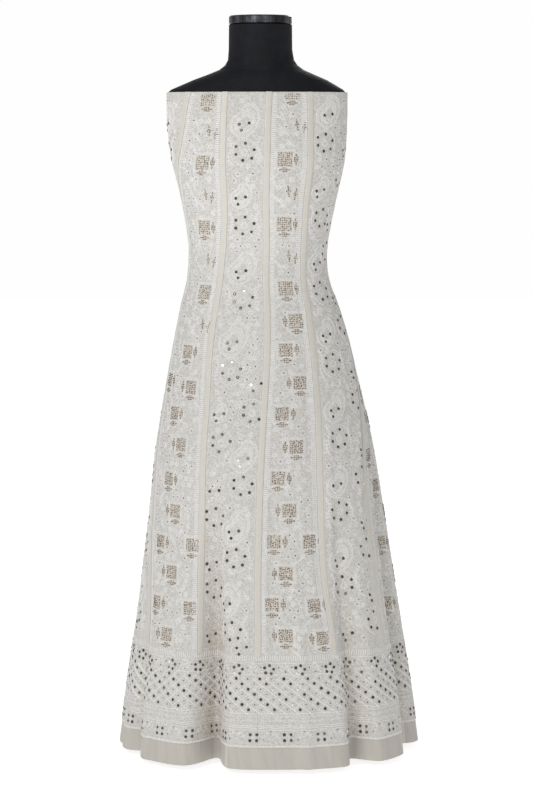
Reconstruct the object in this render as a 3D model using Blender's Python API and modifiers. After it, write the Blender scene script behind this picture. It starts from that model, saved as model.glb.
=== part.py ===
"""Anarkali gown of ten kalis on a limbless dress form.

Metres, +Z up. The origin is the centre of the stand's underside and the front faces -Y.
Places round the gown are counted in seams: place 1.0 is seam 1, left of the front, 2.5 is halfway
between seams 2 and 3, and the count rises to the wearer's left, round the back and on to 11.0,
which is seam 1 again. All cloth lies on one surface, cloth_point(place, height), and each piece is
a wall whose points are that surface's points moved out or in.
"""

import math

import bmesh
import bpy
from mathutils import Vector

KALIS = 10
CLOTH_WALL = 0.0012
LINING_WALL = 0.0010
BAND_WALL = 0.0010
BAND_WIDTH = 0.012
CLEAR = 0.0003

TOP_EDGE = 1.342
BORDER_TOP = 0.232
LINING_TOP = 0.128
OUTER_HEM = 0.055
LINING_HEM = 0.012

# Outline of the gown over its crests: half_width is the side-to-side half size, the depths run
# from the middle to the front and to the back, and squareness 2 is an ellipse.
SECTIONS = (
    ("height", "half_width", "front_depth", "back_depth", "centre_x", "squareness"),
    (1.342, 0.1830, 0.088, 0.084, -0.009, 2.25),
    (1.285, 0.1825, 0.104, 0.092, -0.009, 2.20),
    (1.205, 0.1755, 0.117, 0.098, -0.007, 2.20),
    (1.125, 0.1565, 0.112, 0.096, -0.005, 2.10),
    (1.040, 0.1412, 0.100, 0.092, -0.006, 2.10),
    (0.995, 0.1402, 0.098, 0.094, -0.007, 2.10),
    (0.955, 0.1455, 0.103, 0.102, -0.006, 2.10),
    (0.910, 0.1600, 0.114, 0.116, -0.003, 2.10),
    (0.835, 0.1790, 0.134, 0.138, 0.001, 2.15),
    (0.750, 0.1980, 0.158, 0.160, 0.004, 2.20),
    (0.625, 0.2230, 0.194, 0.190, 0.007, 2.25),
    (0.460, 0.2458, 0.230, 0.222, 0.011, 2.30),
    (0.290, 0.2685, 0.262, 0.250, 0.013, 2.40),
    (0.125, 0.2943, 0.287, 0.272, 0.014, 2.50),
    (0.012, 0.3100, 0.300, 0.284, 0.014, 2.50),
)

# Angles in degrees of the seams, 0 at the front and 90 at +X: the five that show from the front,
# and the one behind the wearer's right side. Those between seams 5 and 10 are spread evenly.
SEAMS = (
    ("height", "seam_1", "seam_2", "seam_3", "seam_4", "seam_5", "seam_10"),
    (1.342, -46.0, -19.5, 8.0, 34.5, 84.0, -102.0),
    (1.235, -58.0, -22.0, 6.5, 35.5, 87.0, -110.0),
    (1.125, -84.0, -25.5, 5.5, 37.0, 89.0, -122.0),
    (1.010, -89.0, -30.0, 7.0, 40.0, 89.0, -127.0),
    (0.850, -87.0, -34.0, 4.0, 34.5, 84.0, -124.0),
    (0.720, -80.0, -32.5, 0.5, 31.0, 70.0, -118.0),
    (0.570, -73.0, -31.5, -2.5, 27.5, 57.0, -110.0),
    (0.400, -66.0, -30.5, -4.0, 25.5, 53.0, -103.0),
    (0.250, -61.0, -29.0, -4.0, 27.5, 52.0, -99.0),
    (0.012, -59.0, -28.0, -4.0, 29.0, 51.0, -97.0),
)

# The flutes' troughs: where each runs at the hem, its half width, how far it sinks in at the hem
# and the height at which it fades out.
FOLDS = (
    ("hem_angle", "half_angle", "depth", "start_height"),
    (-58.0, 4.0, 0.030, 0.46),
    (-22.5, 5.0, 0.085, 0.60),
    (36.0, 4.2, 0.055, 0.54),
    (67.0, 5.0, 0.075, 0.60),
    (98.0, 5.5, 0.065, 0.64),
    (130.0, 5.0, 0.080, 0.56),
    (162.0, 6.0, 0.070, 0.62),
    (193.0, 5.0, 0.085, 0.54),
    (228.0, 5.5, 0.065, 0.60),
    (262.0, 5.0, 0.075, 0.56),
)
FOLD_GROWTH = 1.15

PANEL_HEIGHTS = (
    OUTER_HEM, LINING_TOP, BORDER_TOP, 0.30, 0.38, 0.46, 0.54, 0.62, 0.70, 0.77, 0.83,
    0.885, 0.93, 0.97, 1.01, 1.06, 1.11, 1.15, 1.19, 1.23, 1.27, 1.305, TOP_EDGE,
)
GRID_HEIGHTS = (LINING_HEM,) + PANEL_HEIGHTS
INNER_STRIPS = 7
KALI_STRIPS = INNER_STRIPS + 2

# A lining seam lies on the middle column of each of these kalis.
LINING_SEAM_KALIS = (2, 5, 7, 10)
LINING_SEAM_COLUMN = 5

# The form under the cloth: how far it stays inside the gown's wall at each height.
FORM_ROOM = (
    ("height", "room"),
    (TOP_EDGE, 0.0010),
    (1.290, 0.0014),
    (1.240, 0.0020),
    (1.180, 0.0026),
    (1.120, 0.0034),
    (1.010, 0.0065),
    (0.930, 0.0100),
    (0.830, 0.0230),
    (0.770, 0.0400),
    (0.740, 0.0600),
)
# The form above the gown: shoulders and neck.
SHOULDERS = (
    ("height", "half_width", "half_depth", "centre_x", "squareness"),
    (1.3480, 0.1745, 0.0840, -0.0080, 2.25),
    (1.3570, 0.1565, 0.0815, -0.0050, 2.25),
    (1.3673, 0.1355, 0.0785, -0.0020, 2.25),
    (1.3780, 0.1085, 0.0745, 0.0000, 2.20),
    (1.3874, 0.0862, 0.0700, 0.0010, 2.15),
    (1.3970, 0.0735, 0.0667, 0.0005, 2.05),
    (1.4076, 0.0672, 0.0647, -0.0002, 2.00),
    (1.4280, 0.0646, 0.0640, -0.0012, 2.00),
    (1.4780, 0.0640, 0.0640, -0.0012, 2.00),
)
FORM_SIDES = 44
FORM_BOTTOM = 0.740

CAP_RADIUS = 0.0640
CAP_CENTRE_X = -0.0012
CAP_HEIGHT = 0.018
CAP_BEVEL = 0.0025

BASE_RADIUS = 0.150
BASE_THICK = 0.008
BASE_BEVEL = 0.002
POLE_RADIUS = 0.016


def row_value(table, column, height):
    """The value of a named column at a height, on a smooth curve through the table's rows."""
    names, rows = table[0], table[1:]
    heights = [row[0] for row in rows]
    values = [row[names.index(column)] for row in rows]
    if height >= heights[0]:
        return values[0]
    if height <= heights[-1]:
        return values[-1]
    last = len(rows) - 1
    upper = max(i for i in range(last) if heights[i] >= height)

    def slope(i):
        before = max(i - 1, 0)
        after = min(i + 1, last)
        return (values[after] - values[before]) / (heights[after] - heights[before])

    span = heights[upper + 1] - heights[upper]
    s = (height - heights[upper]) / span
    start = (2.0 * s - 3.0) * s * s + 1.0
    end = (3.0 - 2.0 * s) * s * s
    leaving = ((s - 2.0) * s + 1.0) * s * span
    arriving = (s - 1.0) * s * s * span
    return (
        start * values[upper]
        + end * values[upper + 1]
        + leaving * slope(upper)
        + arriving * slope(upper + 1)
    )


def oval(angle, half_width, front_depth, back_depth, squareness):
    """A point of an oval whose front and back halves may differ in depth."""
    across = math.sin(angle)
    ahead = math.cos(angle)
    swell = (abs(across) ** squareness + abs(ahead) ** squareness) ** (-1.0 / squareness)
    front_share = (1.0 + ahead) / 2.0
    front_share = front_share * front_share * (3.0 - 2.0 * front_share)
    depth = back_depth + (front_depth - back_depth) * front_share
    return half_width * across * swell, -depth * ahead * swell


def outline_point(angle, height, inset=0.0):
    """A point on the gown's outline over its crests."""
    half_width = row_value(SECTIONS, "half_width", height) - inset
    front_depth = row_value(SECTIONS, "front_depth", height) - inset
    back_depth = row_value(SECTIONS, "back_depth", height) - inset
    squareness = row_value(SECTIONS, "squareness", height)
    x, y = oval(angle, half_width, front_depth, back_depth, squareness)
    return Vector((row_value(SECTIONS, "centre_x", height) + x, y, height))


def seam_angle(seam, height):
    """The angle in degrees of a seam, counted on round the back for seams past 5."""
    if seam > KALIS:
        return seam_angle(seam - KALIS, height) + 360.0
    if seam < 1:
        return seam_angle(seam + KALIS, height) - 360.0
    if seam <= 5:
        return row_value(SEAMS, f"seam_{seam}", height)
    last_front = row_value(SEAMS, "seam_5", height)
    behind = row_value(SEAMS, "seam_10", height) + 360.0
    return last_front + (behind - last_front) * (seam - 5) / (KALIS - 5)


def place_angle(place, height):
    """The angle in degrees of a place, which divides the room between two seams evenly."""
    seam = math.floor(place)
    start = seam_angle(seam, height)
    return start + (seam_angle(seam + 1, height) - start) * (place - seam)


def fold_depth(place, height):
    """How far the flutes sink in from the outline at a place."""
    hem_angle = place_angle(place, LINING_HEM)
    total = 0.0
    for trough_angle, half_angle, depth, start_height in FOLDS[1:]:
        if height >= start_height:
            continue
        away = (hem_angle - trough_angle + 180.0) % 360.0 - 180.0
        growth = ((start_height - height) / start_height) ** FOLD_GROWTH
        total += depth * growth * math.exp(-((away / half_angle) ** 2))
    return total


def cloth_point(place, height):
    """A point on the outer face of the gown."""
    angle = math.radians(place_angle(place, height))
    step = 0.01
    point = outline_point(angle, height)
    ahead = outline_point(angle + step, height)
    behind = outline_point(angle - step, height)
    along = (ahead - behind).normalized()
    outward = Vector((along.y, -along.x, 0.0))
    return point - outward * fold_depth(place, height)


def place_beside(place, height, distance):
    """The place this far along the cloth, in small steps because flutes bend it."""
    steps = 4
    small = 0.002
    for _ in range(steps):
        run = (cloth_point(place + small, height) - cloth_point(place - small, height)).length
        place += distance / steps * 2.0 * small / run
    return place


def even_places(start, end, height, strips):
    """Places from start to end that divide the cloth's length into equal strips."""
    samples = strips * 8
    fine = [start + (end - start) * i / samples for i in range(samples + 1)]
    points = [cloth_point(place, height) for place in fine]
    length = [0.0]
    for before, after in zip(points, points[1:]):
        length.append(length[-1] + (after - before).length)
    places = [start]
    for strip in range(1, strips):
        wanted = length[-1] * strip / strips
        i = max(n for n in range(samples) if length[n] <= wanted)
        share = (wanted - length[i]) / (length[i + 1] - length[i])
        places.append(fine[i] + (fine[i + 1] - fine[i]) * share)
    return places + [end]


def ring_places(height):
    """Columns all round: at each seam, at its band's edges, and even strips between."""
    places = []
    for kali in range(1, KALIS + 1):
        left_band = place_beside(kali, height, BAND_WIDTH / 2.0)
        right_band = place_beside(kali + 1, height, -BAND_WIDTH / 2.0)
        places.append(kali)
        places += even_places(left_band, right_band, height, INNER_STRIPS)
    return places


def cloth_grid():
    """Rings of points of the outer face, and at each point the way out of the cloth.

    Moving every point along its way out by some distance moves each face by that distance.
    """
    points = []
    for height in GRID_HEIGHTS:
        points.append([cloth_point(place, height) for place in ring_places(height)])
    ways_out = []
    columns = len(points[0])
    for r, ring in enumerate(points):
        below = points[max(r - 1, 0)]
        above = points[min(r + 1, len(points) - 1)]
        row = []
        for c, point in enumerate(ring):
            upward = above[c] - below[c]
            before = (point - ring[c - 1]).cross(upward).normalized()
            after = (ring[(c + 1) % columns] - point).cross(upward).normalized()
            middle = (before + after).normalized()
            row.append(middle / max(middle.dot(after), 0.5))
        ways_out.append(row)
    return points, ways_out


def finished(name, color, roughness, metallic=0.0):
    """A plain material of one colour."""
    material = bpy.data.materials.new(name)
    material.use_nodes = True
    shader = material.node_tree.nodes["Principled BSDF"]
    shader.inputs["Base Color"].default_value = (*color, 1.0)
    shader.inputs["Roughness"].default_value = roughness
    shader.inputs["Metallic"].default_value = metallic
    return material


def embroidered_cloth(name):
    return finished(name, (0.74, 0.72, 0.67), 0.85)


def satin_band(name):
    return finished(name, (0.79, 0.73, 0.60), 0.45)


def sheer_lining(name):
    return finished(name, (0.50, 0.46, 0.39), 0.60)


def black_jersey(name):
    return finished(name, (0.018, 0.019, 0.025), 0.75)


def dark_chrome(name):
    return finished(name, (0.12, 0.12, 0.14), 0.15, 1.0)


def satin_steel(name):
    return finished(name, (0.55, 0.55, 0.57), 0.35, 1.0)


def add_object(name, bm, material, collection):
    mesh = bpy.data.meshes.new(name)
    bm.to_mesh(mesh)
    bm.free()
    mesh.materials.append(material)
    obj = bpy.data.objects.new(name, mesh)
    collection.objects.link(obj)
    return obj


def wall_points(grid, rows, columns, lift, end_room):
    """One face of a wall: the grid's points moved out, its side edges drawn in by end_room."""
    points, ways_out = grid
    round_count = len(points[0])
    face = []
    for r in rows:
        row = []
        for c in columns:
            row.append(points[r][c % round_count].copy())
        start = (row[1] - row[0]).normalized() * end_room
        end = (row[-2] - row[-1]).normalized() * end_room
        row[0] += start
        row[-1] += end
        for i, c in enumerate(columns):
            row[i] += ways_out[r][c % round_count] * lift
        face.append(row)
    return face


def add_wall(name, grid, rows, columns, outer_lift, thickness, end_room, material, collection):
    """A closed cloth wall between two faces made from the same points of the grid."""
    bm = bmesh.new()
    faces = []
    for lift in (outer_lift, outer_lift - thickness):
        face = wall_points(grid, rows, columns, lift, end_room)
        faces.append([[bm.verts.new(point) for point in row] for row in face])
    outer, inner = faces
    last_row = len(rows) - 1
    last_column = len(columns) - 1
    for r in range(last_row):
        for c in range(last_column):
            low, low_next = outer[r][c], outer[r][c + 1]
            high, high_next = outer[r + 1][c], outer[r + 1][c + 1]
            bm.faces.new((low, low_next, high_next))
            bm.faces.new((low, high_next, high))
            low, low_next = inner[r][c], inner[r][c + 1]
            high, high_next = inner[r + 1][c], inner[r + 1][c + 1]
            bm.faces.new((low_next, low, high_next))
            bm.faces.new((high_next, low, high))
    for c in range(last_column):
        bm.faces.new((inner[0][c], inner[0][c + 1], outer[0][c + 1], outer[0][c]))
        top_out, top_in = outer[last_row], inner[last_row]
        bm.faces.new((top_out[c], top_out[c + 1], top_in[c + 1], top_in[c]))
    for r in range(last_row):
        bm.faces.new((inner[r][0], outer[r][0], outer[r + 1][0], inner[r + 1][0]))
        end_out, end_in = outer[r][last_column], inner[r][last_column]
        above_out, above_in = outer[r + 1][last_column], inner[r + 1][last_column]
        bm.faces.new((end_out, end_in, above_in, above_out))
    obj = add_object(name, bm, material, collection)
    obj.data.shade_smooth()


def rows_between(low, high):
    """The grid rows from one height to another."""
    return [r for r, height in enumerate(GRID_HEIGHTS) if low <= height <= high]


def seam_column(seam):
    return (seam - 1) * KALI_STRIPS


def add_kali(kali, grid, collection):
    """One flared panel from the top edge to the hem, embroidered border and all."""
    name = f"kali_{kali:02d}"
    rows = rows_between(OUTER_HEM, TOP_EDGE)
    columns = list(range(seam_column(kali), seam_column(kali + 1) + 1))
    material = embroidered_cloth(name)
    add_wall(name, grid, rows, columns, 0.0, CLOTH_WALL, CLEAR / 2.0, material, collection)


def add_seam_band(seam, grid, collection):
    """The insertion band laid over one seam, from the top edge to the border."""
    name = f"seam_band_{seam:02d}"
    rows = rows_between(BORDER_TOP, TOP_EDGE)
    middle = seam_column(seam)
    columns = [middle - 1, middle, middle + 1]
    lift = CLEAR + BAND_WALL
    add_wall(name, grid, rows, columns, lift, BAND_WALL, 0.0, satin_band(name), collection)


def add_lining(number, first_kali, last_kali, grid, collection):
    """A gore of the sheer underskirt, of which the foot shows below the outer hem."""
    name = f"lining_{number}"
    rows = rows_between(LINING_HEM, LINING_TOP)
    first = seam_column(first_kali) + LINING_SEAM_COLUMN
    last = seam_column(last_kali) + LINING_SEAM_COLUMN
    columns = list(range(first, last + 1))
    lift = -(CLOTH_WALL + CLEAR)
    material = sheer_lining(name)
    add_wall(name, grid, rows, columns, lift, LINING_WALL, CLEAR / 2.0, material, collection)


def form_rings():
    """Rings of the form from its foot to its neck."""
    rings = []
    for height in [FORM_BOTTOM] + [h for h in PANEL_HEIGHTS if h > FORM_BOTTOM]:
        inset = CLOTH_WALL + row_value(FORM_ROOM, "room", height)
        ring = []
        for side in range(FORM_SIDES):
            ring.append(outline_point(2.0 * math.pi * side / FORM_SIDES, height, inset))
        rings.append(ring)
    for height, half_width, half_depth, centre_x, squareness in SHOULDERS[1:]:
        ring = []
        for side in range(FORM_SIDES):
            angle = 2.0 * math.pi * side / FORM_SIDES
            x, y = oval(angle, half_width, half_depth, half_depth, squareness)
            ring.append(Vector((centre_x + x, y, height)))
        rings.append(ring)
    return rings


def add_form(collection):
    """The torso with its shoulders and neck, smooth and in one piece."""
    name = "form_torso"
    bm = bmesh.new()
    rings = [[bm.verts.new(point) for point in ring] for ring in form_rings()]
    for below, above in zip(rings, rings[1:]):
        for side in range(FORM_SIDES):
            after = (side + 1) % FORM_SIDES
            bm.faces.new((below[side], below[after], above[after], above[side]))
    bm.faces.new(list(reversed(rings[0])))
    bm.faces.new(rings[-1])
    obj = add_object(name, bm, black_jersey(name), collection)
    obj.data.shade_smooth()
    obj.data.set_sharp_from_angle(angle=math.radians(50.0))


def add_disc(name, radius, bottom, top, centre_x, sides, bevel, material, collection):
    """An upright cylinder with rounded rims."""
    middle = (centre_x, 0.0, (top + bottom) / 2.0)
    bpy.ops.mesh.primitive_cylinder_add(
        vertices=sides, radius=radius, depth=top - bottom, location=middle
    )
    obj = bpy.context.active_object
    obj.name = name
    obj.data.name = name
    obj.data.materials.append(material)
    for owner in list(obj.users_collection):
        owner.objects.unlink(obj)
    collection.objects.link(obj)
    if bevel:
        rim = obj.modifiers.new("rounded rims", "BEVEL")
        rim.width = bevel
        rim.segments = 1
        rim.limit_method = "ANGLE"
        rim.angle_limit = math.radians(40.0)
    obj.data.shade_smooth()
    obj.data.set_sharp_from_angle(angle=math.radians(40.0))


def add_neck_cap(collection):
    name = "neck_cap"
    bottom = SHOULDERS[-1][0] + CLEAR
    add_disc(
        name, CAP_RADIUS, bottom, bottom + CAP_HEIGHT, CAP_CENTRE_X, 40, CAP_BEVEL,
        dark_chrome(name), collection,
    )


def add_stand(collection):
    """A round foot plate and a pole that carries the form."""
    name = "stand_base"
    add_disc(name, BASE_RADIUS, 0.0, BASE_THICK, 0.0, 40, BASE_BEVEL, satin_steel(name), collection)
    name = "stand_pole"
    add_disc(
        name, POLE_RADIUS, BASE_THICK + CLEAR, FORM_BOTTOM - CLEAR, 0.0, 20, 0.0,
        satin_steel(name), collection,
    )


def main():
    for obj in list(bpy.data.objects):
        bpy.data.objects.remove(obj, do_unlink=True)
    collection = bpy.data.collections.new("anarkali_gown_on_form")
    bpy.context.scene.collection.children.link(collection)
    add_stand(collection)
    add_form(collection)
    add_neck_cap(collection)
    grid = cloth_grid()
    for number in range(1, KALIS + 1):
        add_kali(number, grid, collection)
        add_seam_band(number, grid, collection)
    gores = len(LINING_SEAM_KALIS)
    for number in range(gores):
        first = LINING_SEAM_KALIS[number]
        last = LINING_SEAM_KALIS[(number + 1) % gores]
        if last < first:
            last += KALIS
        add_lining(number + 1, first, last, grid, collection)


if __name__ == "__main__":
    main()
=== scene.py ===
"""Anarkali gown on a limbless dress form: the cloth, its whitework, sequins and light.

Metres, +Z up, front at -Y. Places round the gown are counted in seams, as in the part's source:
place 2.5 is halfway between seams 2 and 3. A spot on the cloth is a place, a distance across the
cloth from it, and a height. All cloth and all sewing lie on one surface, which Cloth holds.
"""

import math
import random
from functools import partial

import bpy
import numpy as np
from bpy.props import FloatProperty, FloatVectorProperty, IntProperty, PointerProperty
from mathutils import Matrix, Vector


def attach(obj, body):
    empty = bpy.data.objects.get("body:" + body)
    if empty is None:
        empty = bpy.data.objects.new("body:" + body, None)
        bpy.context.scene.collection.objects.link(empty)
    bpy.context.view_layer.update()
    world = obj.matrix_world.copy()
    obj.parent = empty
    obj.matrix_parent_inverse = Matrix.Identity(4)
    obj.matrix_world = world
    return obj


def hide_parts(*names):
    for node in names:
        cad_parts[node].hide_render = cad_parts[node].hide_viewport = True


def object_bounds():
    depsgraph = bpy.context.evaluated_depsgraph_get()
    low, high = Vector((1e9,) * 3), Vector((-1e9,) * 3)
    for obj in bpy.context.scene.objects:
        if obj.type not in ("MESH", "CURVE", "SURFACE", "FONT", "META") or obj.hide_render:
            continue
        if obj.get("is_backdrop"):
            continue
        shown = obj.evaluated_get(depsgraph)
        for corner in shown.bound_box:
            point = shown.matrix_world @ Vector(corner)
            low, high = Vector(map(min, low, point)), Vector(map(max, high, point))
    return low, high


bl_info = {
    "name": "Anarkali Gown",
    "version": (1, 0, 0),
    "blender": (4, 5, 0),
    "location": "View3D > Sidebar > Gown",
    "description": "Builds the cloth, whitework, sequins, form finish and stage of an anarkali gown",
    "category": "Object",
}

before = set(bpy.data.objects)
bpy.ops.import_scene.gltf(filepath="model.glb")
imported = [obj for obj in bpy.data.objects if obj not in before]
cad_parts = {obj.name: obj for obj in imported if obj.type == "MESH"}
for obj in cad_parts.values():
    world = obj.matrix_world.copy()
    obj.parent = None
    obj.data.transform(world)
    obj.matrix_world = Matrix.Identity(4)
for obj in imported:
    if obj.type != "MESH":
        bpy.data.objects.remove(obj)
CAD_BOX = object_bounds()

KALIS = 10
CLEAR = 0.0003
TOP_EDGE = 1.342
BORDER_TOP = 0.232
LINING_TOP = 0.128
OUTER_HEM = 0.055
LINING_HEM = 0.012
BAND_WIDTH = 0.012
MILLIMETRE = 0.001
CREASE_FADE = 0.8
# A crease whose foot is this close over the outer hem runs out over it.
TO_HEM_MARGIN = 0.01
# A flute this deep gets the full painted trough shade.
DEEP_TROUGH = 0.05

# The outline over the crests and the seams and flutes: the part's own tables.
SECTIONS = (
    ("height", "half_width", "front_depth", "back_depth", "centre_x", "squareness"),
    (1.342, 0.1830, 0.088, 0.084, -0.009, 2.25),
    (1.285, 0.1825, 0.104, 0.092, -0.009, 2.20),
    (1.205, 0.1755, 0.117, 0.098, -0.007, 2.20),
    (1.125, 0.1565, 0.112, 0.096, -0.005, 2.10),
    (1.040, 0.1412, 0.100, 0.092, -0.006, 2.10),
    (0.995, 0.1402, 0.098, 0.094, -0.007, 2.10),
    (0.955, 0.1455, 0.103, 0.102, -0.006, 2.10),
    (0.910, 0.1600, 0.114, 0.116, -0.003, 2.10),
    (0.835, 0.1790, 0.134, 0.138, 0.001, 2.15),
    (0.750, 0.1980, 0.158, 0.160, 0.004, 2.20),
    (0.625, 0.2230, 0.194, 0.190, 0.007, 2.25),
    (0.460, 0.2458, 0.230, 0.222, 0.011, 2.30),
    (0.290, 0.2685, 0.262, 0.250, 0.013, 2.40),
    (0.125, 0.2943, 0.287, 0.272, 0.014, 2.50),
    (0.012, 0.3100, 0.300, 0.284, 0.014, 2.50),
)
SEAMS = (
    ("height", "seam_1", "seam_2", "seam_3", "seam_4", "seam_5", "seam_10"),
    (1.342, -46.0, -19.5, 8.0, 34.5, 84.0, -102.0),
    (1.235, -58.0, -22.0, 6.5, 35.5, 87.0, -110.0),
    (1.125, -84.0, -25.5, 5.5, 37.0, 89.0, -122.0),
    (1.010, -89.0, -30.0, 7.0, 40.0, 89.0, -127.0),
    (0.850, -87.0, -34.0, 4.0, 34.5, 84.0, -124.0),
    (0.720, -80.0, -32.5, 0.5, 31.0, 70.0, -118.0),
    (0.570, -73.0, -31.5, -2.5, 27.5, 57.0, -110.0),
    (0.400, -66.0, -30.5, -4.0, 25.5, 53.0, -103.0),
    (0.250, -61.0, -29.0, -4.0, 27.5, 52.0, -99.0),
    (0.012, -59.0, -28.0, -4.0, 29.0, 51.0, -97.0),
)
FOLDS = (
    ("hem_angle", "half_angle", "depth", "start_height"),
    (-58.0, 4.0, 0.030, 0.46),
    (-22.5, 5.0, 0.085, 0.60),
    (36.0, 4.2, 0.055, 0.54),
    (67.0, 5.0, 0.075, 0.60),
    (98.0, 5.5, 0.065, 0.64),
    (130.0, 5.0, 0.080, 0.56),
    (162.0, 6.0, 0.070, 0.62),
    (193.0, 5.0, 0.085, 0.54),
    (228.0, 5.5, 0.065, 0.60),
    (262.0, 5.0, 0.075, 0.56),
)
FOLD_GROWTH = 1.15

# Soft creases between the flutes: a ridge has a rise over 0, a trough one under 0. Each fades in
# below its top and out above its foot, and leans over by its drift in places on the way down.
CREASES = (
    ("place", "drift", "top", "foot", "half_width", "rise"),
    (1.30, 0.04, 0.66, 0.06, 0.013, 0.0046),
    (1.62, -0.06, 0.56, 0.14, 0.012, -0.0042),
    (1.80, 0.02, 0.86, 0.30, 0.009, 0.0022),
    (2.48, -0.05, 0.72, 0.20, 0.012, 0.0034),
    (2.62, 0.03, 0.40, 0.05, 0.010, -0.0028),
    (2.86, -0.04, 0.94, 0.42, 0.008, 0.0018),
    (3.22, -0.03, 0.66, 0.12, 0.012, -0.0032),
    (3.52, 0.05, 0.58, 0.05, 0.014, 0.0042),
    (3.80, -0.02, 0.84, 0.36, 0.009, -0.0024),
    (3.93, 0.03, 0.70, 0.12, 0.014, -0.0045),
    (4.16, 0.02, 0.76, 0.26, 0.010, 0.0034),
    (4.55, -0.04, 0.60, 0.05, 0.013, -0.0038),
    (4.82, 0.03, 0.90, 0.40, 0.010, 0.0036),
    (5.35, 0.05, 0.88, 0.20, 0.012, -0.0055),
    (5.70, -0.03, 0.66, 0.06, 0.014, 0.0044),
    (6.20, 0.04, 0.74, 0.16, 0.012, -0.0030),
    (6.64, -0.05, 0.88, 0.34, 0.010, 0.0034),
    (7.18, 0.03, 0.62, 0.05, 0.013, 0.0040),
    (7.46, -0.04, 0.80, 0.30, 0.010, -0.0030),
    (8.12, 0.05, 0.70, 0.14, 0.012, 0.0036),
    (8.58, -0.02, 0.90, 0.44, 0.009, -0.0022),
    (8.84, 0.04, 0.56, 0.05, 0.014, 0.0042),
    (9.34, -0.03, 0.78, 0.24, 0.011, -0.0032),
    (9.72, 0.05, 0.64, 0.08, 0.013, 0.0038),
    (10.22, -0.04, 0.86, 0.32, 0.010, 0.0028),
    (10.60, 0.03, 0.60, 0.05, 0.012, -0.0034),
)
# Pull of the seams: the cloth beside a band draws up in small waves.
PUCKER_RISE = 0.00045
PUCKER_WAVE = 0.034
PUCKER_REACH = 0.020

# Rosettes on the kalis with an even number: a ring of six sequins under a triple, which stands
# off to one side by its lean.
ROSETTES = (
    ("place", "height", "lean"),
    (2.49, 1.222, -0.003), (2.485, 1.075, -0.0085), (2.53, 0.927, -0.008), (2.40, 0.786, -0.002),
    (2.30, 0.645, -0.009), (2.215, 0.499, -0.002), (2.195, 0.356, -0.007), (2.80, 0.705, 0.004),
    (2.70, 0.563, -0.002), (2.61, 0.4220, -0.005), (2.55, 0.280, -0.014),
    (4.23, 1.240, 0.008), (4.37, 1.089, -0.017), (4.38, 0.941, -0.002), (4.32, 0.798, -0.008),
    (4.36, 0.651, -0.010), (4.355, 0.509, -0.007), (4.385, 0.362, -0.009), (4.78, 1.170, 0.004),
    (4.78, 1.020, -0.005), (4.80, 0.870, 0.003), (4.86, 0.722, -0.004), (4.90, 0.573, 0.003),
    (4.90, 0.431, -0.003), (4.89, 0.288, 0.002),
)
# The same for a panel that the front view hides, counted from its own first seam.
HIDDEN_ROSETTES = (
    ("share", "height", "lean"),
    (0.50, 1.222, -0.003), (0.50, 1.075, -0.008), (0.52, 0.927, 0.002), (0.36, 0.788, 0.007),
    (0.30, 0.645, 0.003), (0.28, 0.501, -0.003), (0.26, 0.360, 0.002), (0.78, 0.705, 0.004),
    (0.74, 0.564, -0.004), (0.72, 0.4235, 0.003), (0.70, 0.283, -0.004),
)
# A curling paisley round a triple, in millimetres across and up from the triple's middle.
PAISLEY = (
    (8, 50), (-2, 44), (-6, 34), (-14, 26), (-25, 18), (-30, 4), (-28, -10), (-18, -21), (-4, -26),
    (10, -23), (22, -14), (31, 0), (36, 16), (34, 32), (26, 44), (16, 50),
)
PAISLEY_MIDDLE = (2, 6)
PAISLEY_ROWS = (1.0, 0.78, 0.58, 0.40)
PAISLEY_REACH = 0.036
PAISLEY_TALL = 0.052
PAISLEY_LARGEST = 0.92
PAISLEY_SMALLEST = 0.45
VINE_REACH = 0.033
VINE_ROOM = 0.028
VINE_LARGEST = 1.05
# A vine that climbs from a ring to the next paisley, in millimetres from the ring's middle.
VINE = ((26, -24), (31, -12), (29, 2), (24, 12), (25, 22), (31, 30))
LEFT_VINE = ((-22, -30), (-29, -18), (-30, -4), (-24, 8), (-27, 20), (-32, 26))
LONE_TRIPLES = (
    (2.12, 0.262), (2.72, 0.246), (4.37, 0.262), (6.35, 0.256), (8.40, 0.252), (10.60, 0.258),
)
TRIPLE_ABOVE_RING = 0.0525
TRIPLE = ((-0.0086, 0.0026), (0.0112, 0.0052), (-0.0040, -0.0092))
# Sequins of a ring, in shares of its radius: a hexagon that leans, worked the other way round
# low down on every other panel of rings.
RING = ((0.11, 1.02), (1.15, 0.28), (0.87, -0.70), (-0.16, -0.95), (-0.98, -0.27), (-0.98, 0.65))
RING_TURNS_BELOW = 0.58
# The triples of those rings stand this much closer to them.
TRIPLE_DROP = 0.004
# What is sewn round a ring's middle, from the inside out.
RING_PETALS = (
    ("petals", "length", "inner", "width"),
    (8, 0.0074, 0.0022, 0.0036), (14, 0.0030, 0.0104, 0.0018), (26, 0.0042, 0.0212, 0.0026),
)
RING_CURL = 0.0272

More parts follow.
